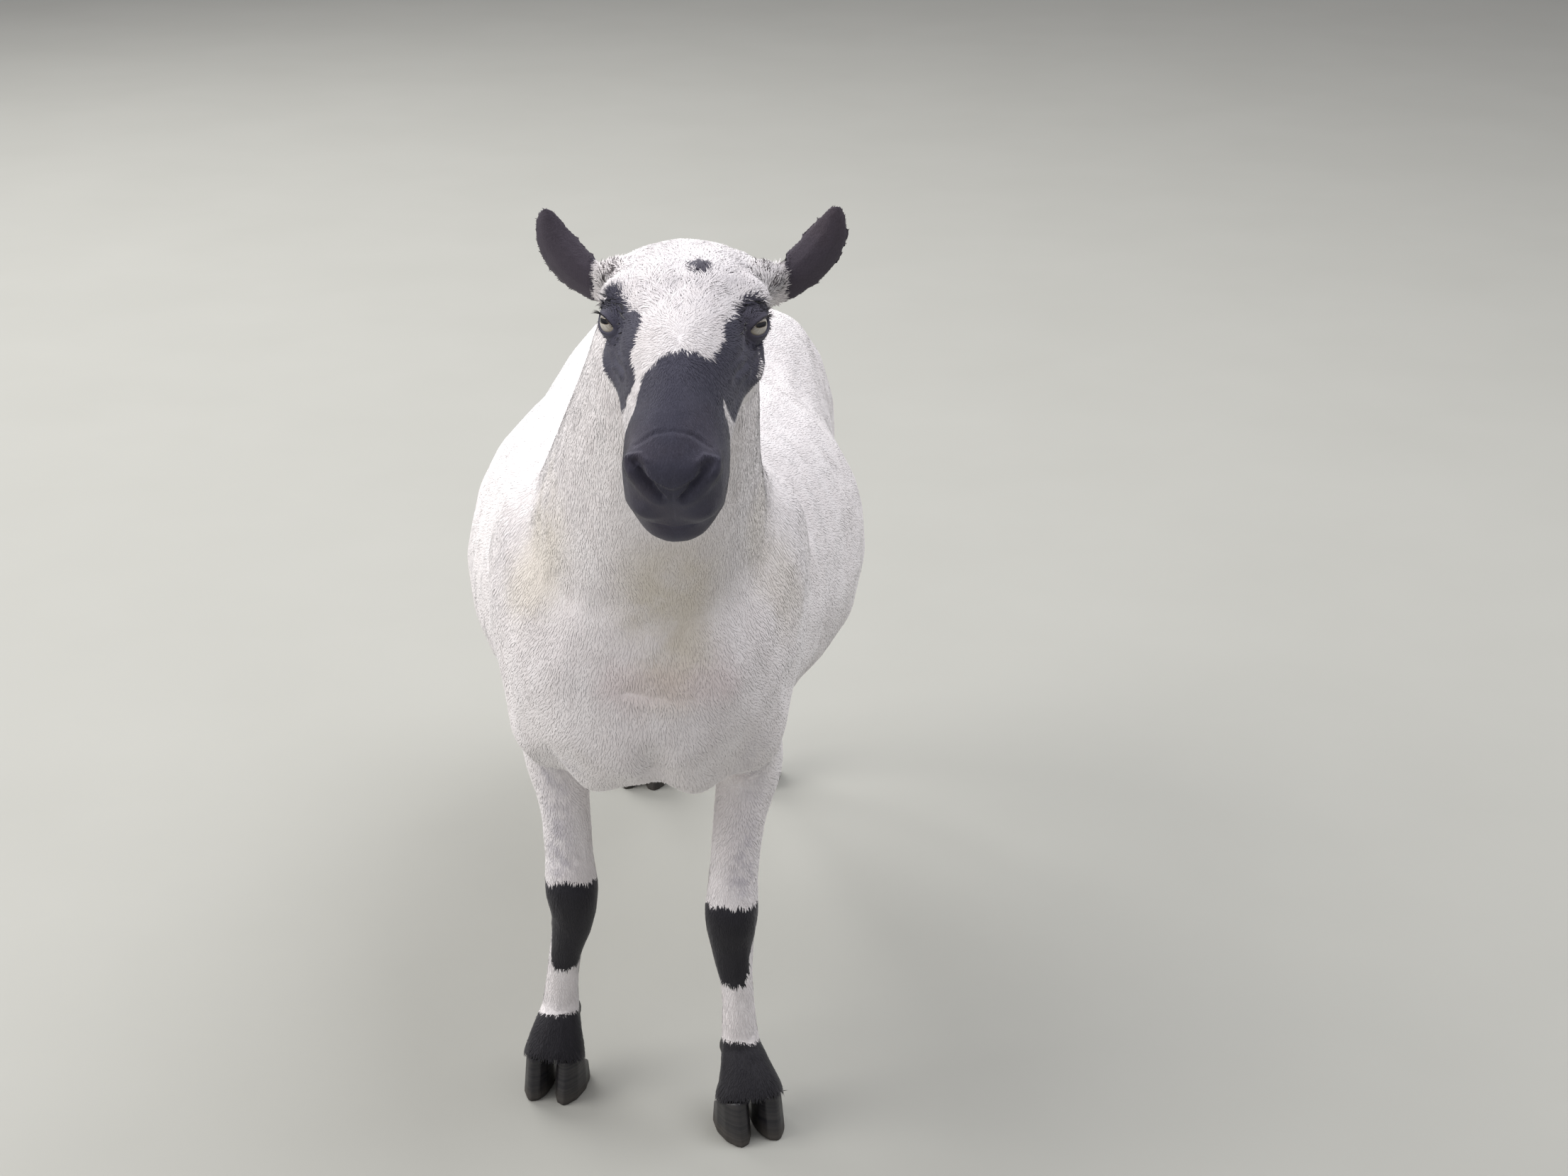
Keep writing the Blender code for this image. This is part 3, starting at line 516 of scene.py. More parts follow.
skin_tree = BVHTree.FromPolygons(spots, [tuple(p.vertices) for p in skin.data.polygons])


def lid_points(side, angle):
    """From under the lid's rim, over it and out into the face, at one angle round the eye."""
    centre, facing, outer, up = eye_axes(side, *LIDS_WAY)
    edge = opening(angle)
    far = np.array((math.cos(angle), math.sin(angle))) * LID_REACH
    thick = 1 - 0.55 * ease(math.cos(angle), 0.1, 0.9)  # the outer corner is thin
    upper = max(math.sin(angle), 0.0)

    def place(at, height):
        return centre + outer * at[0] + up * at[1] + facing * height

    def height_at(at):
        hit = skin_tree.ray_cast(Vector(place(at, 0.05)), Vector(-facing))[0]
        return (np.array(hit) - centre) @ facing - 0.0002

    def over_ball(at, rise):
        return math.sqrt(max((EYE_RADIUS + rise) ** 2 - at @ at, 0.0))

    points = []
    for out, rise in LID_RIM:
        crest = edge * (1 + out * mm / np.linalg.norm(edge))
        start = over_ball(crest, rise * thick * mm)
        points.append(place(crest, start))
    way = far - crest
    fall, end = -(crest @ way) / start, height_at(far)
    slope = (height_at(far + way * 0.1) - end) / 0.1
    for k in range(1, LID_STEPS + 1):
        t = k / LID_STEPS
        at = crest + way * t
        height = start * (1 + 2 * t) * (1 - t) ** 2 + fall * t * (1 - t) ** 2
        height += end * t * t * (3 - 2 * t) + slope * t * t * (t - 1)
        off = np.linalg.norm(at - edge) / mm
        height += (0.4 + 0.3 * upper) * mm * math.exp(-(((off - 2.2) / 1.1) ** 2)) * thick
        height -= (0.5 + 0.9 * upper) * mm * math.exp(-(((off - 4.8) / 1.3) ** 2)) * thick
        height = max(height, over_ball(at, 0.0020))
        points.append(place(at, height - 0.0008 * (k == LID_STEPS)))
    return points


lids = bmesh.new()
for side in (1, -1):
    lines = np.array([lid_points(side, 2 * math.pi * k / LID_SIDES) for k in range(LID_SIDES)])
    for _ in range(3):  # evens out what the rays found, more and more away from the rim
        even = (np.roll(lines, 1, axis=0) + 2 * lines + np.roll(lines, -1, axis=0)) / 4
        share = ease(np.arange(lines.shape[1]), 3.0, 6.0)[None, :, None]
        lines = lines * (1 - share) + even * share
    rings = [[lids.verts.new(p) for p in ring] for ring in lines.transpose(1, 0, 2)]
    for one, two in zip(rings, rings[1:] + rings[:1]):
        for k in range(LID_SIDES):
            n = (k + 1) % LID_SIDES
            lids.faces.new((one[k], one[n], two[n], two[k])[::side])
lid_mesh = made("lids", lids)


def on_lids(places, side):
    """Distance outside the opening, below 0 within it, and part of the way to the lids' end."""
    centre, facing, outer, up = eye_axes(side, *LIDS_WAY)
    off = places - centre
    x, y = off @ outer, off @ up
    part = np.hypot(x / LID_HALF_LENGTH, y / np.where(y > 0, LID_UPPER, LID_LOWER))
    gap = np.hypot(x, y) * (1 - 1 / np.maximum(part, 0.01))
    far = np.hypot(x / LID_REACH[0], y / LID_REACH[1])
    here = (lengths(off) < 0.034) & (off @ facing > 0)
    return np.where(here, gap, 9.0), np.where(here, far, 9.0)


# The skin gives way under the lids.
lid_tree = BVHTree.FromPolygons(places_of(lid_mesh), [tuple(p.vertices) for p in lid_mesh.polygons])
for side in (1, -1):
    facing = eye_axes(side, *LIDS_WAY)[1]
    part = on_lids(spots, side)[1]
    for k in np.flatnonzero(part < 1.02):
        hit = lid_tree.ray_cast(Vector(spots[k] + facing * 0.05), Vector(-facing), 0.06)[0]
        if hit:
            spots[k] = np.array(hit) - facing * 0.0010 * (1 - ease(part[k], 0.87, 1.0))
put_places(skin.data, spots)

# Flesh that has no fine form is thinned, so that the face keeps most of the faces.
h = to_head(spots)
plain = ease(-head_depth(spots), -0.02, 0.03)
plain[ear_reach(spots) > -0.012] = 0.15
weigh(skin, "plain", np.maximum(plain, 0.12))
thin = skin.modifiers.new("thin", "DECIMATE")
thin.ratio = SKIN_FACES / sum(len(p.vertices) - 2 for p in skin.data.polygons)
thin.vertex_group = "plain"
thin.use_collapse_triangulate = True
settle(skin)
whole = bmesh.new()
whole.from_mesh(skin.data)
whole.from_mesh(lid_mesh)
whole.to_mesh(skin.data)
whole.free()
skin.data.shade_smooth()

# The hair's colour, length and lie are written on the skin's points, for skin and coat alike.
# Black marks are distances inside their edge, in metres, so that the edge stays sharp.
spots = places_of(skin.data)
h = to_head(spots)
body = spots - FEET
turn = np.degrees(np.arctan2(h[:, 2] + 0.025, np.abs(h[:, 0])))  # round the head, 90 on top
AROUND = 0.045 * math.pi / 180  # a degree of that turn, in metres of skin

# each eye patch: y back from the nose in mm, and turn in degrees
EYE_PATCHES = {
    -1: ((165, 42), (158, 46), (149, 48), (137, 54), (127, 61), (118, 62), (114, 57), (108, 55),
         (104, 50), (97, 46), (89, 48), (80, 50), (77, 40), (77, 26), (74, 14), (79, 0), (90, -4),
         (102, 0), (115, 4), (126, 4), (134, 5), (146, 2), (160, 4), (169, 12), (168, 24), (160, 31),
         (160, 36)),
    1: ((161, 43), (151, 49), (141, 53), (133, 53), (124, 58), (116, 58), (110, 56), (101, 59),
        (93, 60), (87, 61), (80, 60), (75, 50), (72, 31), (71, 15), (71, 0), (75, -3), (89, -5),
        (105, -5), (117, -4), (128, 0), (139, 3), (148, 1), (160, 4), (168, 12), (167, 24),
        (159, 31), (160, 38)),
}
# where the black of the nose ends: height z on the head, and y back from the nose, in mm
NOSE_EDGES = {
    -1: ((-95, 28), (-70, 34), (-45, 42), (-22, 52), (-8, 52), (0, 55), (6, 64), (13, 75),
         (19, 80), (26, 86), (30, 92), (45, 108)),
    1: ((-95, 30), (-70, 36), (-45, 48), (-28, 60), (-18, 62), (-4, 66), (1, 72), (10, 78),
        (16, 83), (22, 86), (26, 89), (30, 93), (45, 108)),
}
CROWN_SPOT, CROWN_RADII = ((5, 175, 39), (12, 173, 39), (13, 164, 40)), (0.0045, 0.0088, 0.0062)
# joins the nose to the patch of her left eye
BRIDGE, BRIDGE_RADIUS = ((24, 86, 19), (28, 79, 12), (32, 75, 4)), 0.0052
# a white line in that patch
CHEEK_SLIVER, SLIVER_RADIUS = ((57, 140, -12), (59, 128, -16), (58, 117, -23)), 0.0018


def outline_gap(places, outline):
    """Distance inside a flat outline, below 0 outside it."""
    gap = np.full(len(places), 9.0)
    inside = np.zeros(len(places), bool)
    for a, b in zip(outline, np.roll(outline, -1, axis=0)):
        along = np.clip(((places - a) @ (b - a)) / ((b - a) @ (b - a)), 0, 1)
        gap = np.minimum(gap, lengths(places - a - along[:, None] * (b - a)))
        crosses = (a[1] > places[:, 1]) != (b[1] > places[:, 1])
        with np.errstate(divide="ignore", invalid="ignore"):
            x = a[0] + (places[:, 1] - a[1]) * (b[0] - a[0]) / (b[1] - a[1])
        inside ^= crosses & (places[:, 0] < x)
    return np.where(inside, gap, -gap)


UNMARKED = -0.05
near_head = np.flatnonzero(head_depth(spots) > -0.04)
face, flat = h[near_head], np.column_stack((h[:, 1], turn * AROUND))[near_head]
marks = np.full(len(face), UNMARKED)
for side, outline in EYE_PATCHES.items():
    patch = outline_gap(flat, np.array(outline, float) * (mm, AROUND))
    edge = np.array(NOSE_EDGES[side], float) * mm
    nose_black = (np.interp(face[:, 2], edge[:, 0], edge[:, 1]) - face[:, 1]) * 0.85
    half_black = np.where(face[:, 0] * side > 0, np.maximum(patch, nose_black), UNMARKED)
    marks = np.maximum(marks, half_black)
marks = np.maximum(marks, -chain_gap(face, CROWN_SPOT, CROWN_RADII))
marks = np.maximum(marks, -chain_gap(face, BRIDGE, BRIDGE_RADIUS))
marks = np.minimum(marks, chain_gap(face, CHEEK_SLIVER, SLIVER_RADIUS))
black = np.full(len(spots), UNMARKED)
black[near_head] = np.maximum(black[near_head], marks)
ears = ear_reach(spots)
black = np.maximum(black, np.where(ears > -0.019, ears, UNMARKED))

# each fore leg: its line at knee and fetlock, the black of the knee from and to, and its foot
LEGS = {
    "fore_left": dict(knee=(73.5, 3, 218), foot=(81.5, -4, 76), black=(146, 237), sock=84, lean=12),
    "fore_right": dict(knee=(-83, 42, 218), foot=(-100, 50, 76), black=(130, 236), sock=77, lean=-12),
    "hind_left": dict(knee=(64, 738, 235), foot=(53, 722, 76), black=(200, 262), sock=86, lean=8),
    "hind_right": dict(knee=(-86, 732, 235), foot=(-85, 722, 76), black=(196, 258), sock=82, lean=-8),
}
LEG_REACH, LEG_TOP = 0.075, 0.31  # of the legs' marks, from a leg's line and up from the floor
ROUND_LEG = 0.0004  # a degree round a leg, in metres of skin
low = body[:, 2]
for leg in LEGS.values():
    top, foot = np.array(leg["knee"]) * mm, np.array(leg["foot"]) * mm
    t = (low - foot[2]) / (top[2] - foot[2])
    line = foot + t[:, None] * (top - foot)
    off = body - line
    mine = (np.hypot(off[:, 0], off[:, 1]) < LEG_REACH) & (low < LEG_TOP)
    round_leg = np.abs(np.degrees(np.arctan2(off[:, 0], -off[:, 1])) + leg["lean"])
    start, end = np.array(leg["black"]) * mm
    height = (2 * low - start - end) / (end - start)  # from -1 to 1 up the patch
    rounding = np.minimum(np.abs(height), 1) ** np.where(height > 0, 26, 16)
    reach = (72 + 42 * ease(height, -0.6, 0.6)) * (1 - rounding)  # to each side, in degrees
    patch = np.minimum(end - low, low - start)
    patch = np.minimum(patch, (reach - round_leg) * ROUND_LEG)
    sock = leg["sock"] * mm - low + 0.004 * np.cos(np.radians(round_leg))
    black = np.where(mine, np.maximum(patch, sock), black)

# Where the coat has tints: cream on the neck, partly cream-stained wool and partly painted shadow of the
# head down the throat; blue-grey where forearm skin shows, and the same blue-grey as painted shade on the
# lower forehead; pink folds.
EAR_ROOT = np.array((66, 196, 4)) * mm

# strength, line and radius of each tinted place, in mm from the floor between her fore feet
TINTED = {
    "cool": (
        (1.0, [(-100, 20, 385), (-97, 16, 330), (-94, 14, 256)], 30),
        (1.0, [(98, -5, 362), (94, -12, 320), (88, -20, 262)], 28),
        (0.55, [(-74, -30, 425), (-60, -60, 405)], 26),
        (0.35, [(98, -46, 420), (86, -30, 385)], 24),
    ),
    "pink": (
        (1.0, [(-14, -96, 500), (30, -104, 500), (74, -90, 500)], 30),
        (1.0, [(60, 10, 385), (84, 10, 372)], 26),
        (1.0, [(-76, 20, 385), (-62, 10, 370)], 22),
    ),
    "cream": (
        # cream-stained wool; this line down the middle of the throat is also painted shadow of the head
        (1.0, [(28, -90, 640), (32, -104, 590), (30, -106, 520)], 60),
        (0.8, [(-70, -50, 640), (-84, -30, 560)], 60),
        (0.5, [(110, -40, 640), (118, 0, 540)], 50),
    ),
}


def tint(places):
    """Full along each line, none past its radius."""
    shares = []
    for strength, path, radius in places:
        gap = chain_gap(body, path)
        shares.append(strength * (1 - ease(gap, 0.25 * radius * mm, radius * mm)))
    return np.max(shares, axis=0)


folded = np.abs(h) * (1, 0, 0) + h * (0, 1, 1)  # both halves of the head as its left one
head = in_head(spots)
brow = on_forehead(h) * head
ear_fluff = (1 - ease(lengths(folded - EAR_ROOT), 0.015, 0.032)) * head
cool, pink, cream = (tint(places) for places in TINTED.values())
# Painted shade: the forehead takes the blue-grey too, most on its lower, front-facing part, and none on the
# ear fluff.
brow_shade = 0.30 + 0.70 * ease(-h[:, 1], -0.15, -0.09)
cool = np.maximum(cool, brow_shade * brow * (1 - ear_fluff))
flecks = 0.75 * ear_fluff

# The lie of the hair: away from the whorl on the face, back and down on the body, down each leg,
# out along each ear.
lie = np.tile((0.0, 0.80, -0.62), (len(spots), 1))
leg_part = 1 - ease(low, 0.22, 0.40)
lie = turned(lie, (0, 0.12, -1.0), leg_part)
neck_part = ease(low, 0.42, 0.60) * (1 - ease(body[:, 1], -0.02, 0.14))
lie = turned(lie, (0, 0.25, -1.0), neck_part)
tail_part = ease(body[:, 1], 0.70, 0.73) * (low > 0.40)
lie = turned(lie, (0, 0.2, -1.0), tail_part)
from_whorl = h - WHORL
from_whorl /= lengths(from_whorl)[:, None]
from_whorl[:, 2] -= 0.5 * ease(-h[:, 2], 0.0, 0.05)
head_lie = from_whorl @ HEAD_AXES
ear_way = np.sign(h[:, :1]) * HEAD_AXES[0] + 0.9 * HEAD_AXES[2] * ease(np.abs(h[:, :1]), 0.085, 0.125)
head_lie = np.where(ears[:, None] > -0.004, ear_way, head_lie)
lie = turned(lie, head_lie, head)
upright = normals_of(skin.data)
lie -= upright * (lie * upright).sum(axis=1)[:, None]
lie /= np.maximum(lengths(lie), 1e-6)[:, None]

leg_low = 1 - ease(low, 0.20, 0.36)
cheek = head * (1 - brow)
muzzle = head * (1 - ease(h[:, 1], 0.030, 0.075))
NOSE_TIP = [(-10, -5, -20), (0, -6, -24), (10, -5, -20)]
nose_bare = head * (1 - ease(chain_gap(h, NOSE_TIP), 0.003, 0.009))
wet_ends = lengths(folded - np.array((7.5, -6, -31)) * mm)
nose_bare = np.maximum(nose_bare * 0.6, 1 - ease(wet_ends, 0.0015, 0.0045))
ear_part = ease(ears, -0.003, 0.003)
sock_part = 1 - ease(low, 0.035, 0.075)
near_lids = np.maximum(*(1 - ease(on_lids(spots, side)[0], 0.004, 0.013) for side in (1, -1)))
# length, width and rise of a tuft in mm, which give way to those of each part by its share
TRUNK_TUFT = (8.4, 1.6, 0.75)
PART_TUFTS = (
    (neck_part, (7.8, 1.45, 0.6)),
    (leg_low, (5.4, 1.1, 0.55)),
    (cheek, (5.0, 0.85, 0.5)),
    (brow, (9.2, 0.85, 1.5)),
    (muzzle, (2.6, 0.65, 0.30)),
    (ear_fluff, (9.5, 0.72, 2.8)),
    (ear_part, (2.1, 0.70, 0.14)),
    (sock_part, (7.5, 1.15, 1.2)),
    (near_lids, (3.0, 0.75, 0.35)),
)
tuft_size = np.tile(TRUNK_TUFT, (len(spots), 1))
for share, size in PART_TUFTS:
    tuft_size = turned(tuft_size, size, share)

loose = np.maximum(1 - ease(lengths(h - WHORL), 0.004, 0.045), 0.75 * brow)
loose = np.maximum(loose, 0.8 * ear_fluff)
LAYERS = dict(loose=loose, black=black, cool=cool, pink=pink, cream=cream, flecks=flecks)
LAYERS.update(bare=nose_bare, russet=ear_part, low_leg=leg_low)
LAYERS.update(zip(("long", "wide", "rise"), tuft_size.T * mm))
for name, values in LAYERS.items():
    note(skin.data, name, values)
note(skin.data, "lie", lie, "FLOAT_VECTOR")

# The unwrap of the skin's own shape, which the tufts share.
bpy.context.view_layer.objects.active = skin
skin.select_set(True)
bpy.ops.object.mode_set(mode="EDIT")
bpy.ops.mesh.select_all(action="SELECT")
bpy.ops.uv.smart_project(angle_limit=math.radians(66), island_margin=0.002)
bpy.ops.object.mode_set(mode="OBJECT")
skin.data.uv_layers[0].name = "OFBake"
skin.select_set(False)

WHITE_HAIR = (0.93, 0.897, 0.905, 1)
SHADED_HAIR = (0.885, 0.845, 0.850, 1)
CREAM_STAIN_AND_SHADOW = (0.76, 0.70, 0.60, 1)
PINK_SKIN = (0.82, 0.68, 0.68, 1)
# blue-grey of forearm skin, also used as painted shade on the lower forehead
COOL_SKIN_AND_SHADE = (0.45, 0.43, 0.49, 1)
BLACK_HAIR = (0.060, 0.059, 0.088, 1)
BROWN_HAIR = (0.074, 0.060, 0.076, 1)
LEG_BLACK = (0.022, 0.021, 0.026, 1)
FLECK = (0.10, 0.085, 0.09, 1)


def hair_colour(finish, place, ragged):
    """The colour of hair at a place, with ragged edges to the black; and how black it is."""
    edge = (finish.noise(place, 260.0, 3.0, 0.6) - 0.5) * ragged
    broad_edge = (finish.noise(place, 70.0, 2.0) - 0.5) * 0.006
    dark = (finish.attribute("black") + edge + broad_edge).ease(-0.0007, 0.0007)
    cloud = finish.noise(place, 14.0, 4.0)
    streak = finish.noise(finish.stretched(place, (55, 55, 9)), 1.0, 3.0)
    pale = finish.mix((cloud * 0.5 + streak * 0.5).ease(0.40, 0.62), SHADED_HAIR, WHITE_HAIR)
    # cream stain, and painted shadow of the head on the throat
    pale = finish.mix(finish.attribute("cream") * cloud.ease(0.25, 0.55) * 0.85, pale, CREAM_STAIN_AND_SHADOW)
    pale = finish.mix(finish.attribute("pink") * 0.35, pale, PINK_SKIN)
    blotch = finish.noise(place, 110.0, 3.0).ease(0.36, 0.62)
    # blue-grey forearm skin, and painted shade on the lower forehead, both mottled
    pale = finish.mix(finish.attribute("cool") * (blotch * 0.55 + 0.15), pale, COOL_SKIN_AND_SHADE)
    spot = (finish.noise(place, 190.0, 2.0) + finish.attribute("flecks") * 0.16).ease(0.66, 0.72)
    pale = finish.mix(spot * finish.attribute("flecks").ease(0.0, 0.3), pale, FLECK)
    brown = cloud.ease(0.50, 0.70) * 0.4 + finish.attribute("russet") * 0.8
    coal = finish.mix(brown, BLACK_HAIR, BROWN_HAIR)
    coal = finish.mix(finish.attribute("low_leg"), coal, LEG_BLACK)
    return finish.mix(dark, pale, coal), dark


hide = Finish("hair_over_skin", Roughness=0.8, Sheen_Weight=0.15, Specular_IOR_Level=0.25)
place = hide.own_place()
colour, dark = hair_colour(hide, place, 0.004)
pores = hide.noise(place, 900.0, 2.0)
wet = hide.attribute("bare") * 0.9
hide.feed("Base Color", hide.mix(wet * 0.5, colour, (0.012, 0.011, 0.014, 1)))
hide.feed("Roughness", wet.ease(0.0, 1.0, 0.74, 0.26))
fur_lines = hide.noise(hide.stretched(place, (900, 900, 160)), 1.0, 2.0)
hide.feed("Normal", hide.bump(fur_lines * 0.7 + pores * 0.5, 0.0006, 0.7))
skin.data.materials.clear()
skin.data.materials.append(hide.material)
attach(skin, "root")
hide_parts(*flesh)

# ---- eyes
# Each eyeball is wet, with a clear bulge over a pale grey-beige iris and a long slot of a pupil
# that stays level however the head is held.
GAZE_WAY = math.radians(49), math.radians(12), 0.0
IRIS_RADIUS = 0.0103
BULGE_RADIUS, BULGE = 0.0112, 0.0011
PUPIL_HALF_LENGTH, PUPIL_HALF_HEIGHT = 0.0053, 0.0018

eye = Finish("wet_eye", Roughness=0.10, Coat_Weight=0.5, Coat_Roughness=0.03, IOR=1.36)
out = eye.attribute("out")
spoke = eye.stretched(eye.attribute("spoke", "Vector"), (9, 9, 1.2))
fibres = eye.noise(spoke, 1.0, 4.0, 0.6)
iris = eye.mix(fibres.ease(0.35, 0.68), (0.40, 0.37, 0.32, 1), (0.60, 0.57, 0.52, 1))
iris = eye.mix(out.ease(0.55, 0.93), iris, (0.42, 0.37, 0.29, 1))
iris = eye.mix(out.ease(0.90, 1.03), iris, (0.030, 0.020, 0.016, 1))
white = eye.mix(out.ease(1.05, 1.25), iris, (0.30, 0.22, 0.19, 1))
white = eye.mix(out.ease(1.30, 1.50), white, (0.10, 0.05, 0.05, 1))
pupil = eye.attribute("pupil") + (fibres - 0.5) * 0.25
halo = eye.mix(pupil.ease(-0.55, 0.0), white, (0.16, 0.11, 0.06, 1))
eye.feed("Base Color", eye.mix(pupil.ease(-0.06, 0.10), halo, (0.006, 0.006, 0.009, 1)))

for side, name in ((1, "eye_left"), (-1, "eye_right")):
    centre, gaze, outer, up = eye_axes(side, *GAZE_WAY)
    ball = bmesh.new()
    bmesh.ops.create_uvsphere(ball, u_segments=72, v_segments=54, radius=EYE_RADIUS)
    mesh = made(name, ball)
    own = places_of(mesh)  # the pole of the ball looks out
    reach = np.hypot(own[:, 0], own[:, 1])
    swell = BULGE * (1 - ease(reach, 0.25 * BULGE_RADIUS, BULGE_RADIUS)) * (own[:, 2] > 0)
    spread = own * (1 + swell / EYE_RADIUS)[:, None]
    put_places(mesh, centre + spread @ np.array((outer, up * side, gaze)))
    u, v = own[:, 0] / PUPIL_HALF_LENGTH, own[:, 1] / PUPIL_HALF_HEIGHT
    within = np.where(own[:, 2] > 0, 1 - (np.abs(u) ** 3 + np.abs(v) ** 2.2), -1)
    around = np.arctan2(own[:, 1], own[:, 0])
    note(mesh, "out", np.where(own[:, 2] > 0, reach / IRIS_RADIUS, 2))
    note(mesh, "pupil", np.maximum(within, -1))
    spokes = np.column_stack((np.cos(around), np.sin(around), reach / IRIS_RADIUS))
    note(mesh, "spoke", spokes, "FLOAT_VECTOR")
    mesh.materials.append(eye.material)
    mesh.shade_smooth()
    piece = shown(f"{name}ball", mesh)
    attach(piece, "root")
    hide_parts(name)

# ---- lashes
# Long dark lashes stand out from each upper lid and droop past its outer corner. The lower lid has
# a few short ones.
# from and to, in degrees round the opening with the outer corner at 0, number and length
LASH_ROWS = ((16, 158, 44, 0.0088), (-118, -32, 16, 0.0040))
LASH_RADIUS = 0.00026
LASH_STEPS = 6

rng = np.random.default_rng(11)
lashes = bmesh.new()
for side in (1, -1):
    centre, facing, outer, up = eye_axes(side, *LIDS_WAY)
    for start, end, count, length in LASH_ROWS:
        for turn in np.linspace(start, end, count) + rng.uniform(-1.5, 1.5, count):
            angle = math.radians(turn)
            place = lid_points(side, angle)[3] - facing * 0.0004
            way = facing * 0.9 + (outer * (math.cos(angle) + 0.45) + up * math.sin(angle)) * 0.8
            way = unit(way) + rng.uniform(-0.14, 0.14, 3)
            reach = length * rng.uniform(0.75, 1.1) * (0.62 + 0.38 * max(math.cos(angle), -0.4))
            ring = None
            for k in range(LASH_STEPS + 1):
                cross = unit(np.cross(way, up))
                other = np.cross(cross, unit(way))
                radius = LASH_RADIUS * (1.04 - k / LASH_STEPS)
                spokes = [(math.cos(q), math.sin(q)) for q in (0, 2.1, 4.2)]
                fresh = [(cross * c + other * s) * radius for c, s in spokes]
                fresh = [lashes.verts.new(place + off) for off in fresh]
                for n in range(3):
                    if ring:
                        lashes.faces.new((ring[n], ring[(n + 1) % 3], fresh[(n + 1) % 3], fresh[n]))
                if not ring:
                    lashes.faces.new(fresh[::-1])
                ring = fresh
                place = place + unit(way) * reach / LASH_STEPS
                way = way + (0, 0, -0.17) + outer * 0.05
            lashes.faces.new(ring)
bmesh.ops.recalc_face_normals(lashes, faces=lashes.faces)
lash_mesh = made("lashes", lashes)
lash = Finish("lash", Roughness=0.5)
lash_shade = lash.noise(lash.own_place(), 300.0)
lash.feed("Base Color", lash.mix(lash_shade, (0.012, 0.011, 0.014, 1), (0.030, 0.026, 0.030, 1)))
lash_mesh.materials.append(lash.material)
piece = shown("lashes", lash_mesh)
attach(piece, "root")

# ---- hooves
# The claws and dewclaws are horn, rounded at their edges, with growth rings, dust at the ground
# and a flat worn sole.
HORN_GRAIN = 0.0015
SOLE_FLAT = 0.0008  # height below which horn is worn flat
# where along a claw its top begins to fall to the heel, and by what share of its height
HEEL_FROM, HEEL_DROP = 0.45, 0.38

horn = Finish("hoof_horn", Coat_Weight=0.1, Coat_Roughness=0.4, Specular_IOR_Level=0.4)
place = horn.own_place()
rings = horn.noise(horn.stretched(place, (14, 14, 420)), 1.0, 3.0)
grooves = horn.noise(horn.stretched(place, (700, 700, 60)), 1.0, 2.0)
cloud = horn.noise(place, 90.0, 4.0)
height = horn.node("ShaderNodeSeparateXYZ", {}, {0: place}, output=2)
dust = (cloud * 0.012 + height).ease(FEET[2] + 0.010, FEET[2] + 0.024, 1.0, 0.0)
shade = horn.mix(rings.ease(0.35, 0.65), (0.012, 0.012, 0.015, 1), (0.030, 0.028, 0.029, 1))
horn.feed("Base Color", horn.mix(dust * 0.2, shade, (0.14, 0.12, 0.09, 1)))
horn.feed("Roughness", (dust * 0.3 + cloud * 0.3).ease(0.0, 0.6, 0.34, 0.72))
horn.feed("Normal", horn.bump(rings * 0.7 + grooves * 0.3, 0.0006, 0.6))

for kind in ("claw", "dewclaw"):
    names = [n for n in frame["nodes"] if n.startswith(kind)]
    hard = bmesh.new()
    for name in names:
        hard.from_mesh(frame["nodes"][name].data)
    piece = shown(f"{kind}_horn", made(kind, hard))
    grain = piece.modifiers.new("grain", "REMESH")
    grain.mode, grain.voxel_size = "VOXEL", HORN_GRAIN
    rounder = piece.modifiers.new("rounder", "SMOOTH")
    rounder.factor, rounder.iterations = 0.5, 8
    settle(piece)
    own = places_of(piece.data)
    high = own[:, 2] - FEET[2]
    sunk = own[:, 2] - 0.0004 * (1 - ease(high, SOLE_FLAT, 0.0022))
    own[:, 2] = np.where(high < SOLE_FLAT, FEET[2], sunk)
    for name in names if kind == "claw" else ():
        box = places_of(frame["nodes"][name].data)
        low_end, high_end = box.min(axis=0), box.max(axis=0)
        mine = ((own > low_end - 0.001) & (own < high_end + 0.001))[:, :2].all(axis=1)
        part = (own - low_end) / (high_end - low_end)
        tall = high_end[2] - low_end[2]
        drop = ease(part[:, 1], HEEL_FROM, 1.0) * ease(own[:, 2] - low_end[2], 0.006, tall)
        own[:, 2] -= np.where(mine, drop, 0) * HEEL_DROP * tall
    put_places(piece.data, own)
    piece.data.materials.clear()
    piece.data.materials.append(horn.material)
    piece.data.shade_smooth()
    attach(piece, "root")
    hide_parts(*names)

# ---- coat
# Short wool and hair in small solid tufts. Each is a thin blade rooted in the skin that lies
# along the body, and each stretch of the coat is one piece.
TUFT_BENDS = {"straight": 0.0, "leftward": 0.26, "rightward": -0.26}
PATCH = 0.003  # size of a tuft on the unwrap
BARE_LID = 0.0035  # from the opening to the first hair
SOFTNESS = 0.88  # how far a tuft takes its light like the ground it grows on

tufts = bpy.data.collections.new("tufts")
for name, bend in TUFT_BENDS.items():
    # root, left and right edge, then tip: along, across and up
    points = [(-0.05, 0, -0.30), (0.38, bend * 0.3 - 0.5, 0.50), (0.38, bend * 0.3 + 0.5, 0.50)]
    points += [(1.0, bend, 0.66)]
    faces = [(0, 1, 2), (1, 3, 2), (0, 3, 1), (0, 2, 3)]
    mesh = bpy.data.meshes.new(name)
    mesh.from_pydata(points, [], faces)
    mesh.shade_smooth()
    note(mesh, "leaf", [(p[0] - 0.5, p[1] * 0.8, 0) for p in points], "FLOAT_VECTOR")
    note(mesh, "tip", [0, 0.5, 0.5, 1])
    tufts.objects.link(bpy.data.objects.new(name, mesh))


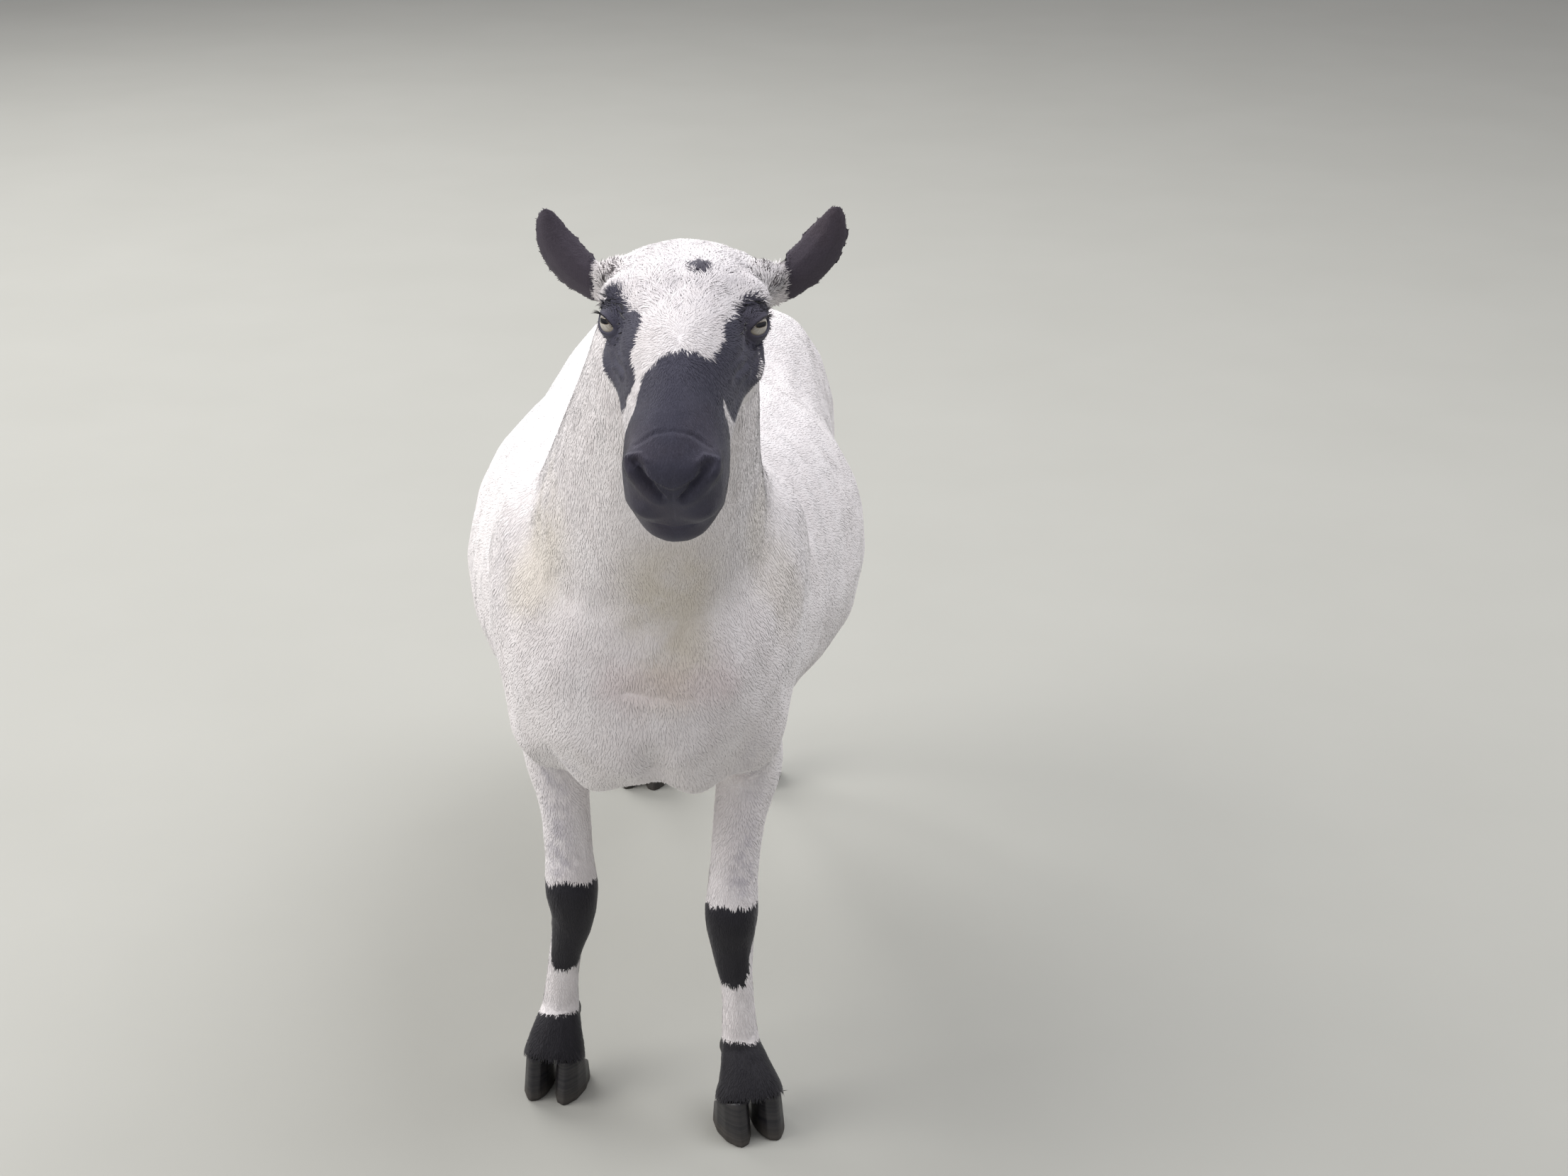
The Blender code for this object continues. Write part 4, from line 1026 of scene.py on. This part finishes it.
def coat_tree(finish):
    """Tufts over one stretch of the skin. Named inputs: Stretch, Spacing and Seed."""
    tree = bpy.data.node_groups.new("coat", "GeometryNodeTree")
    net = Net(tree)
    for name, kind in (("Skin", "Geometry"), ("Stretch", "Int"), ("Spacing", "Float"), ("Seed", "Int")):
        tree.interface.new_socket(name, in_out="INPUT", socket_type=f"NodeSocket{kind}")
    tree.interface.new_socket("Coat", in_out="OUTPUT", socket_type="NodeSocketGeometry")
    given = tree.nodes.new("NodeGroupInput")
    whole, stretch, spacing, seed = (Value(net, s) for s in given.outputs[:4])

    def named(name, kind="FLOAT"):
        return net.node("GeometryNodeInputNamedAttribute", {"data_type": kind}, {"Name": name})

    def store(geometry, name, value, kind, domain):
        settings = {"data_type": kind, "domain": domain}
        sockets = {"Geometry": geometry, "Name": name, "Value": value}
        return net.node("GeometryNodeStoreNamedAttribute", settings, sockets)

    def vector(operation, one, two):
        sockets = {0: one, 3 if operation == "SCALE" else 1: two}
        return net.node("ShaderNodeVectorMath", {"operation": operation}, sockets)

    def chance(low, high, salt):
        sockets = {2: low, 3: high, "Seed": salt}
        return net.node("FunctionNodeRandomValue", {"data_type": "FLOAT"}, sockets, output=1)

    settings = {"data_type": "INT", "operation": "EQUAL"}
    same = net.node("FunctionNodeCompare", settings, {2: named("stretch", "INT"), 3: stretch})
    sockets = {"Geometry": whole, "Selection": same}
    part = net.node("GeometryNodeSeparateGeometry", {"domain": "FACE"}, sockets)
    most = net.node("ShaderNodeMath", {"operation": "POWER"}, {0: spacing, 1: -2.0}) * 4.0
    sockets = {"Mesh": part, "Distance Min": spacing, "Density Max": most, "Seed": seed}
    roots = net.node("GeometryNodeDistributePointsOnFaces", {"distribute_method": "POISSON"}, sockets)
    normal = Value(net, roots.socket.node.outputs["Normal"])
    spot = net.node("GeometryNodeInputPosition")
    wave = net.noise(spot, 42.0, 2.0) - 0.5
    loose = named("loose") * 2.0 + 1.0
    sway = (wave * 1.5 + chance(-0.30, 0.30, 3)) * loose
    settings = {"primary_axis": "Z", "secondary_axis": "X"}
    sockets = {0: normal, 1: named("lie", "FLOAT_VECTOR")}
    way = net.node("FunctionNodeAxesToRotation", settings, sockets)
    yaw = net.node("FunctionNodeAxisAngleToRotation", {}, {"Axis": (0, 0, 1), "Angle": sway})
    way = net.node("FunctionNodeRotateRotation", {"rotation_space": "LOCAL"}, {0: way, 1: yaw})
    tall = net.noise(spot, 90.0, 2.0).ease(0.3, 0.7, 0.7, 1.25)
    size = {
        "X": named("long") * chance(0.75, 1.2, 5),
        "Y": named("wide") * chance(0.8, 1.25, 6),
        "Z": named("rise") * tall * chance(0.75, 1.15, 7),
    }
    size = net.node("ShaderNodeCombineXYZ", {}, size)
    rooted = store(roots, "root", spot, "FLOAT_VECTOR", "POINT")
    rooted = store(rooted, "patch", named("OFBake", "FLOAT_VECTOR"), "FLOAT_VECTOR", "POINT")
    rooted = store(rooted, "ground", normal, "FLOAT_VECTOR", "POINT")
    rooted = store(rooted, "tone", chance(0.0, 1.0, 8), "FLOAT", "POINT")
    kinds = net.node("GeometryNodeCollectionInfo", {}, {"Collection": tufts, "Separate Children": True})
    sockets = {"Points": rooted, "Instance": kinds, "Pick Instance": True, "Rotation": way, "Scale": size}
    grown = net.node("GeometryNodeInstanceOnPoints", {}, sockets)
    solid = net.node("GeometryNodeRealizeInstances", {}, {"Geometry": grown})
    on_leaf = vector("SCALE", named("leaf", "FLOAT_VECTOR"), PATCH)
    on_map = vector("ADD", named("patch", "FLOAT_VECTOR"), on_leaf)
    solid = store(solid, "OFBake", on_map, "FLOAT2", "CORNER")
    own_normal = vector("SCALE", net.node("GeometryNodeInputNormal"), 1 - SOFTNESS)
    soft = vector("ADD", vector("SCALE", named("ground", "FLOAT_VECTOR"), SOFTNESS), own_normal)
    solid = net.node("GeometryNodeSetMeshNormal", {"mode": "FREE"}, {"Mesh": solid, "Custom Normal": soft})
    solid = net.node("GeometryNodeSetMaterial", {}, {"Geometry": solid, "Material": finish.material})
    result = tree.nodes.new("NodeGroupOutput")
    tree.links.new(solid.socket, result.inputs[0])
    return tree


wool = Finish("wool_and_hair", Roughness=0.9, Sheen_Weight=0.25, Specular_IOR_Level=0.15)
root_place = wool.attribute("root", "Vector")
colour, dark = hair_colour(wool, root_place, 0.007)
# Painted shade: each tuft is darker towards its root, where tufts lie under one another; some tufts are also
# darker than others at random.
tone = wool.attribute("tone") * 0.5 + wool.attribute("tip") * 0.5
settings = {"data_type": "RGBA", "blend_type": "MULTIPLY"}
sockets = {0: 1.0, 6: colour, 7: wool.mix(tone, (0.88, 0.865, 0.86, 1), (1.0, 1.0, 1.0, 1))}
wool.feed("Base Color", wool.node("ShaderNodeMix", settings, sockets, output=2))
wool.feed("Roughness", dark.ease(0.0, 1.0, 0.92, 0.62))

# spacing of the tufts of each stretch, which are numbered from 0 in this order
STRETCHES = {"muzzle": 0.00095, "face_left": 0.00098, "face_right": 0.00098, "ears": 0.00105}
STRETCHES.update(neck_left=0.0015, neck_right=0.00145)
PAIRS = {"chest": 0.0015, "ribs": 0.0016, "loin": 0.0016, "rump": 0.00172}
PAIRS.update(fore_leg=0.0014, hind_leg=0.0015)
for name, spacing in PAIRS.items():
    STRETCHES.update({f"{name}_left": spacing, f"{name}_right": spacing})
centres = rows(skin.data.polygons, "center")
h, body = to_head(centres), centres - FEET
on_right = body[:, 0] <= 0.014 * -np.sin(math.pi * body[:, 1] / 0.72)
# chest, ribs, loin and rump from front to back, left at the number and right one above it
stretch = 6 + 2 * np.searchsorted((0.09, 0.28, 0.47), body[:, 1], side="right") + on_right
leg = np.where(body[:, 1] < 0.35, 14, 16) + (body[:, 0] <= 0)
stretch = np.where(body[:, 2] < 0.34, leg, stretch)
stretch = np.where((body[:, 2] > 0.53) & (body[:, 1] < 0.06), 4 + on_right, stretch)
on_head = head_depth(centres) > 0
stretch = np.where(on_head, np.where(h[:, 0] > 0, 1, 2), stretch)
stretch = np.where(on_head & (h[:, 1] < 0.085), 0, stretch)
stretch = np.where(ear_reach(centres) > 0, 3, stretch)
stretch[np.minimum(on_lids(centres, 1)[0], on_lids(centres, -1)[0]) < BARE_LID] = -1
note(skin.data, "stretch", stretch, "INT", "FACE")

tree = coat_tree(wool)
keys = {item.name: item.identifier for item in tree.interface.items_tree}
for number, (name, spacing) in enumerate(STRETCHES.items()):
    coat = shown(f"coat_{name}", skin.data)
    grow = coat.modifiers.new("grow", "NODES")
    grow.node_group = tree
    grow[keys["Stretch"]] = number
    grow[keys["Spacing"]] = spacing * 1.0
    grow[keys["Seed"]] = number + 1
    settle(coat)
    for extra in ("lie", "long", "wide", "rise", "patch", "leaf", "bare", "loose", "ground"):
        if extra in coat.data.attributes:
            coat.data.attributes.remove(coat.data.attributes[extra])
    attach(coat, "root")
    "dark_hair" if name in ("muzzle", "ears") else "fleece"
for tuft in list(tufts.objects):
    bpy.data.objects.remove(tuft)
bpy.data.collections.remove(tufts)
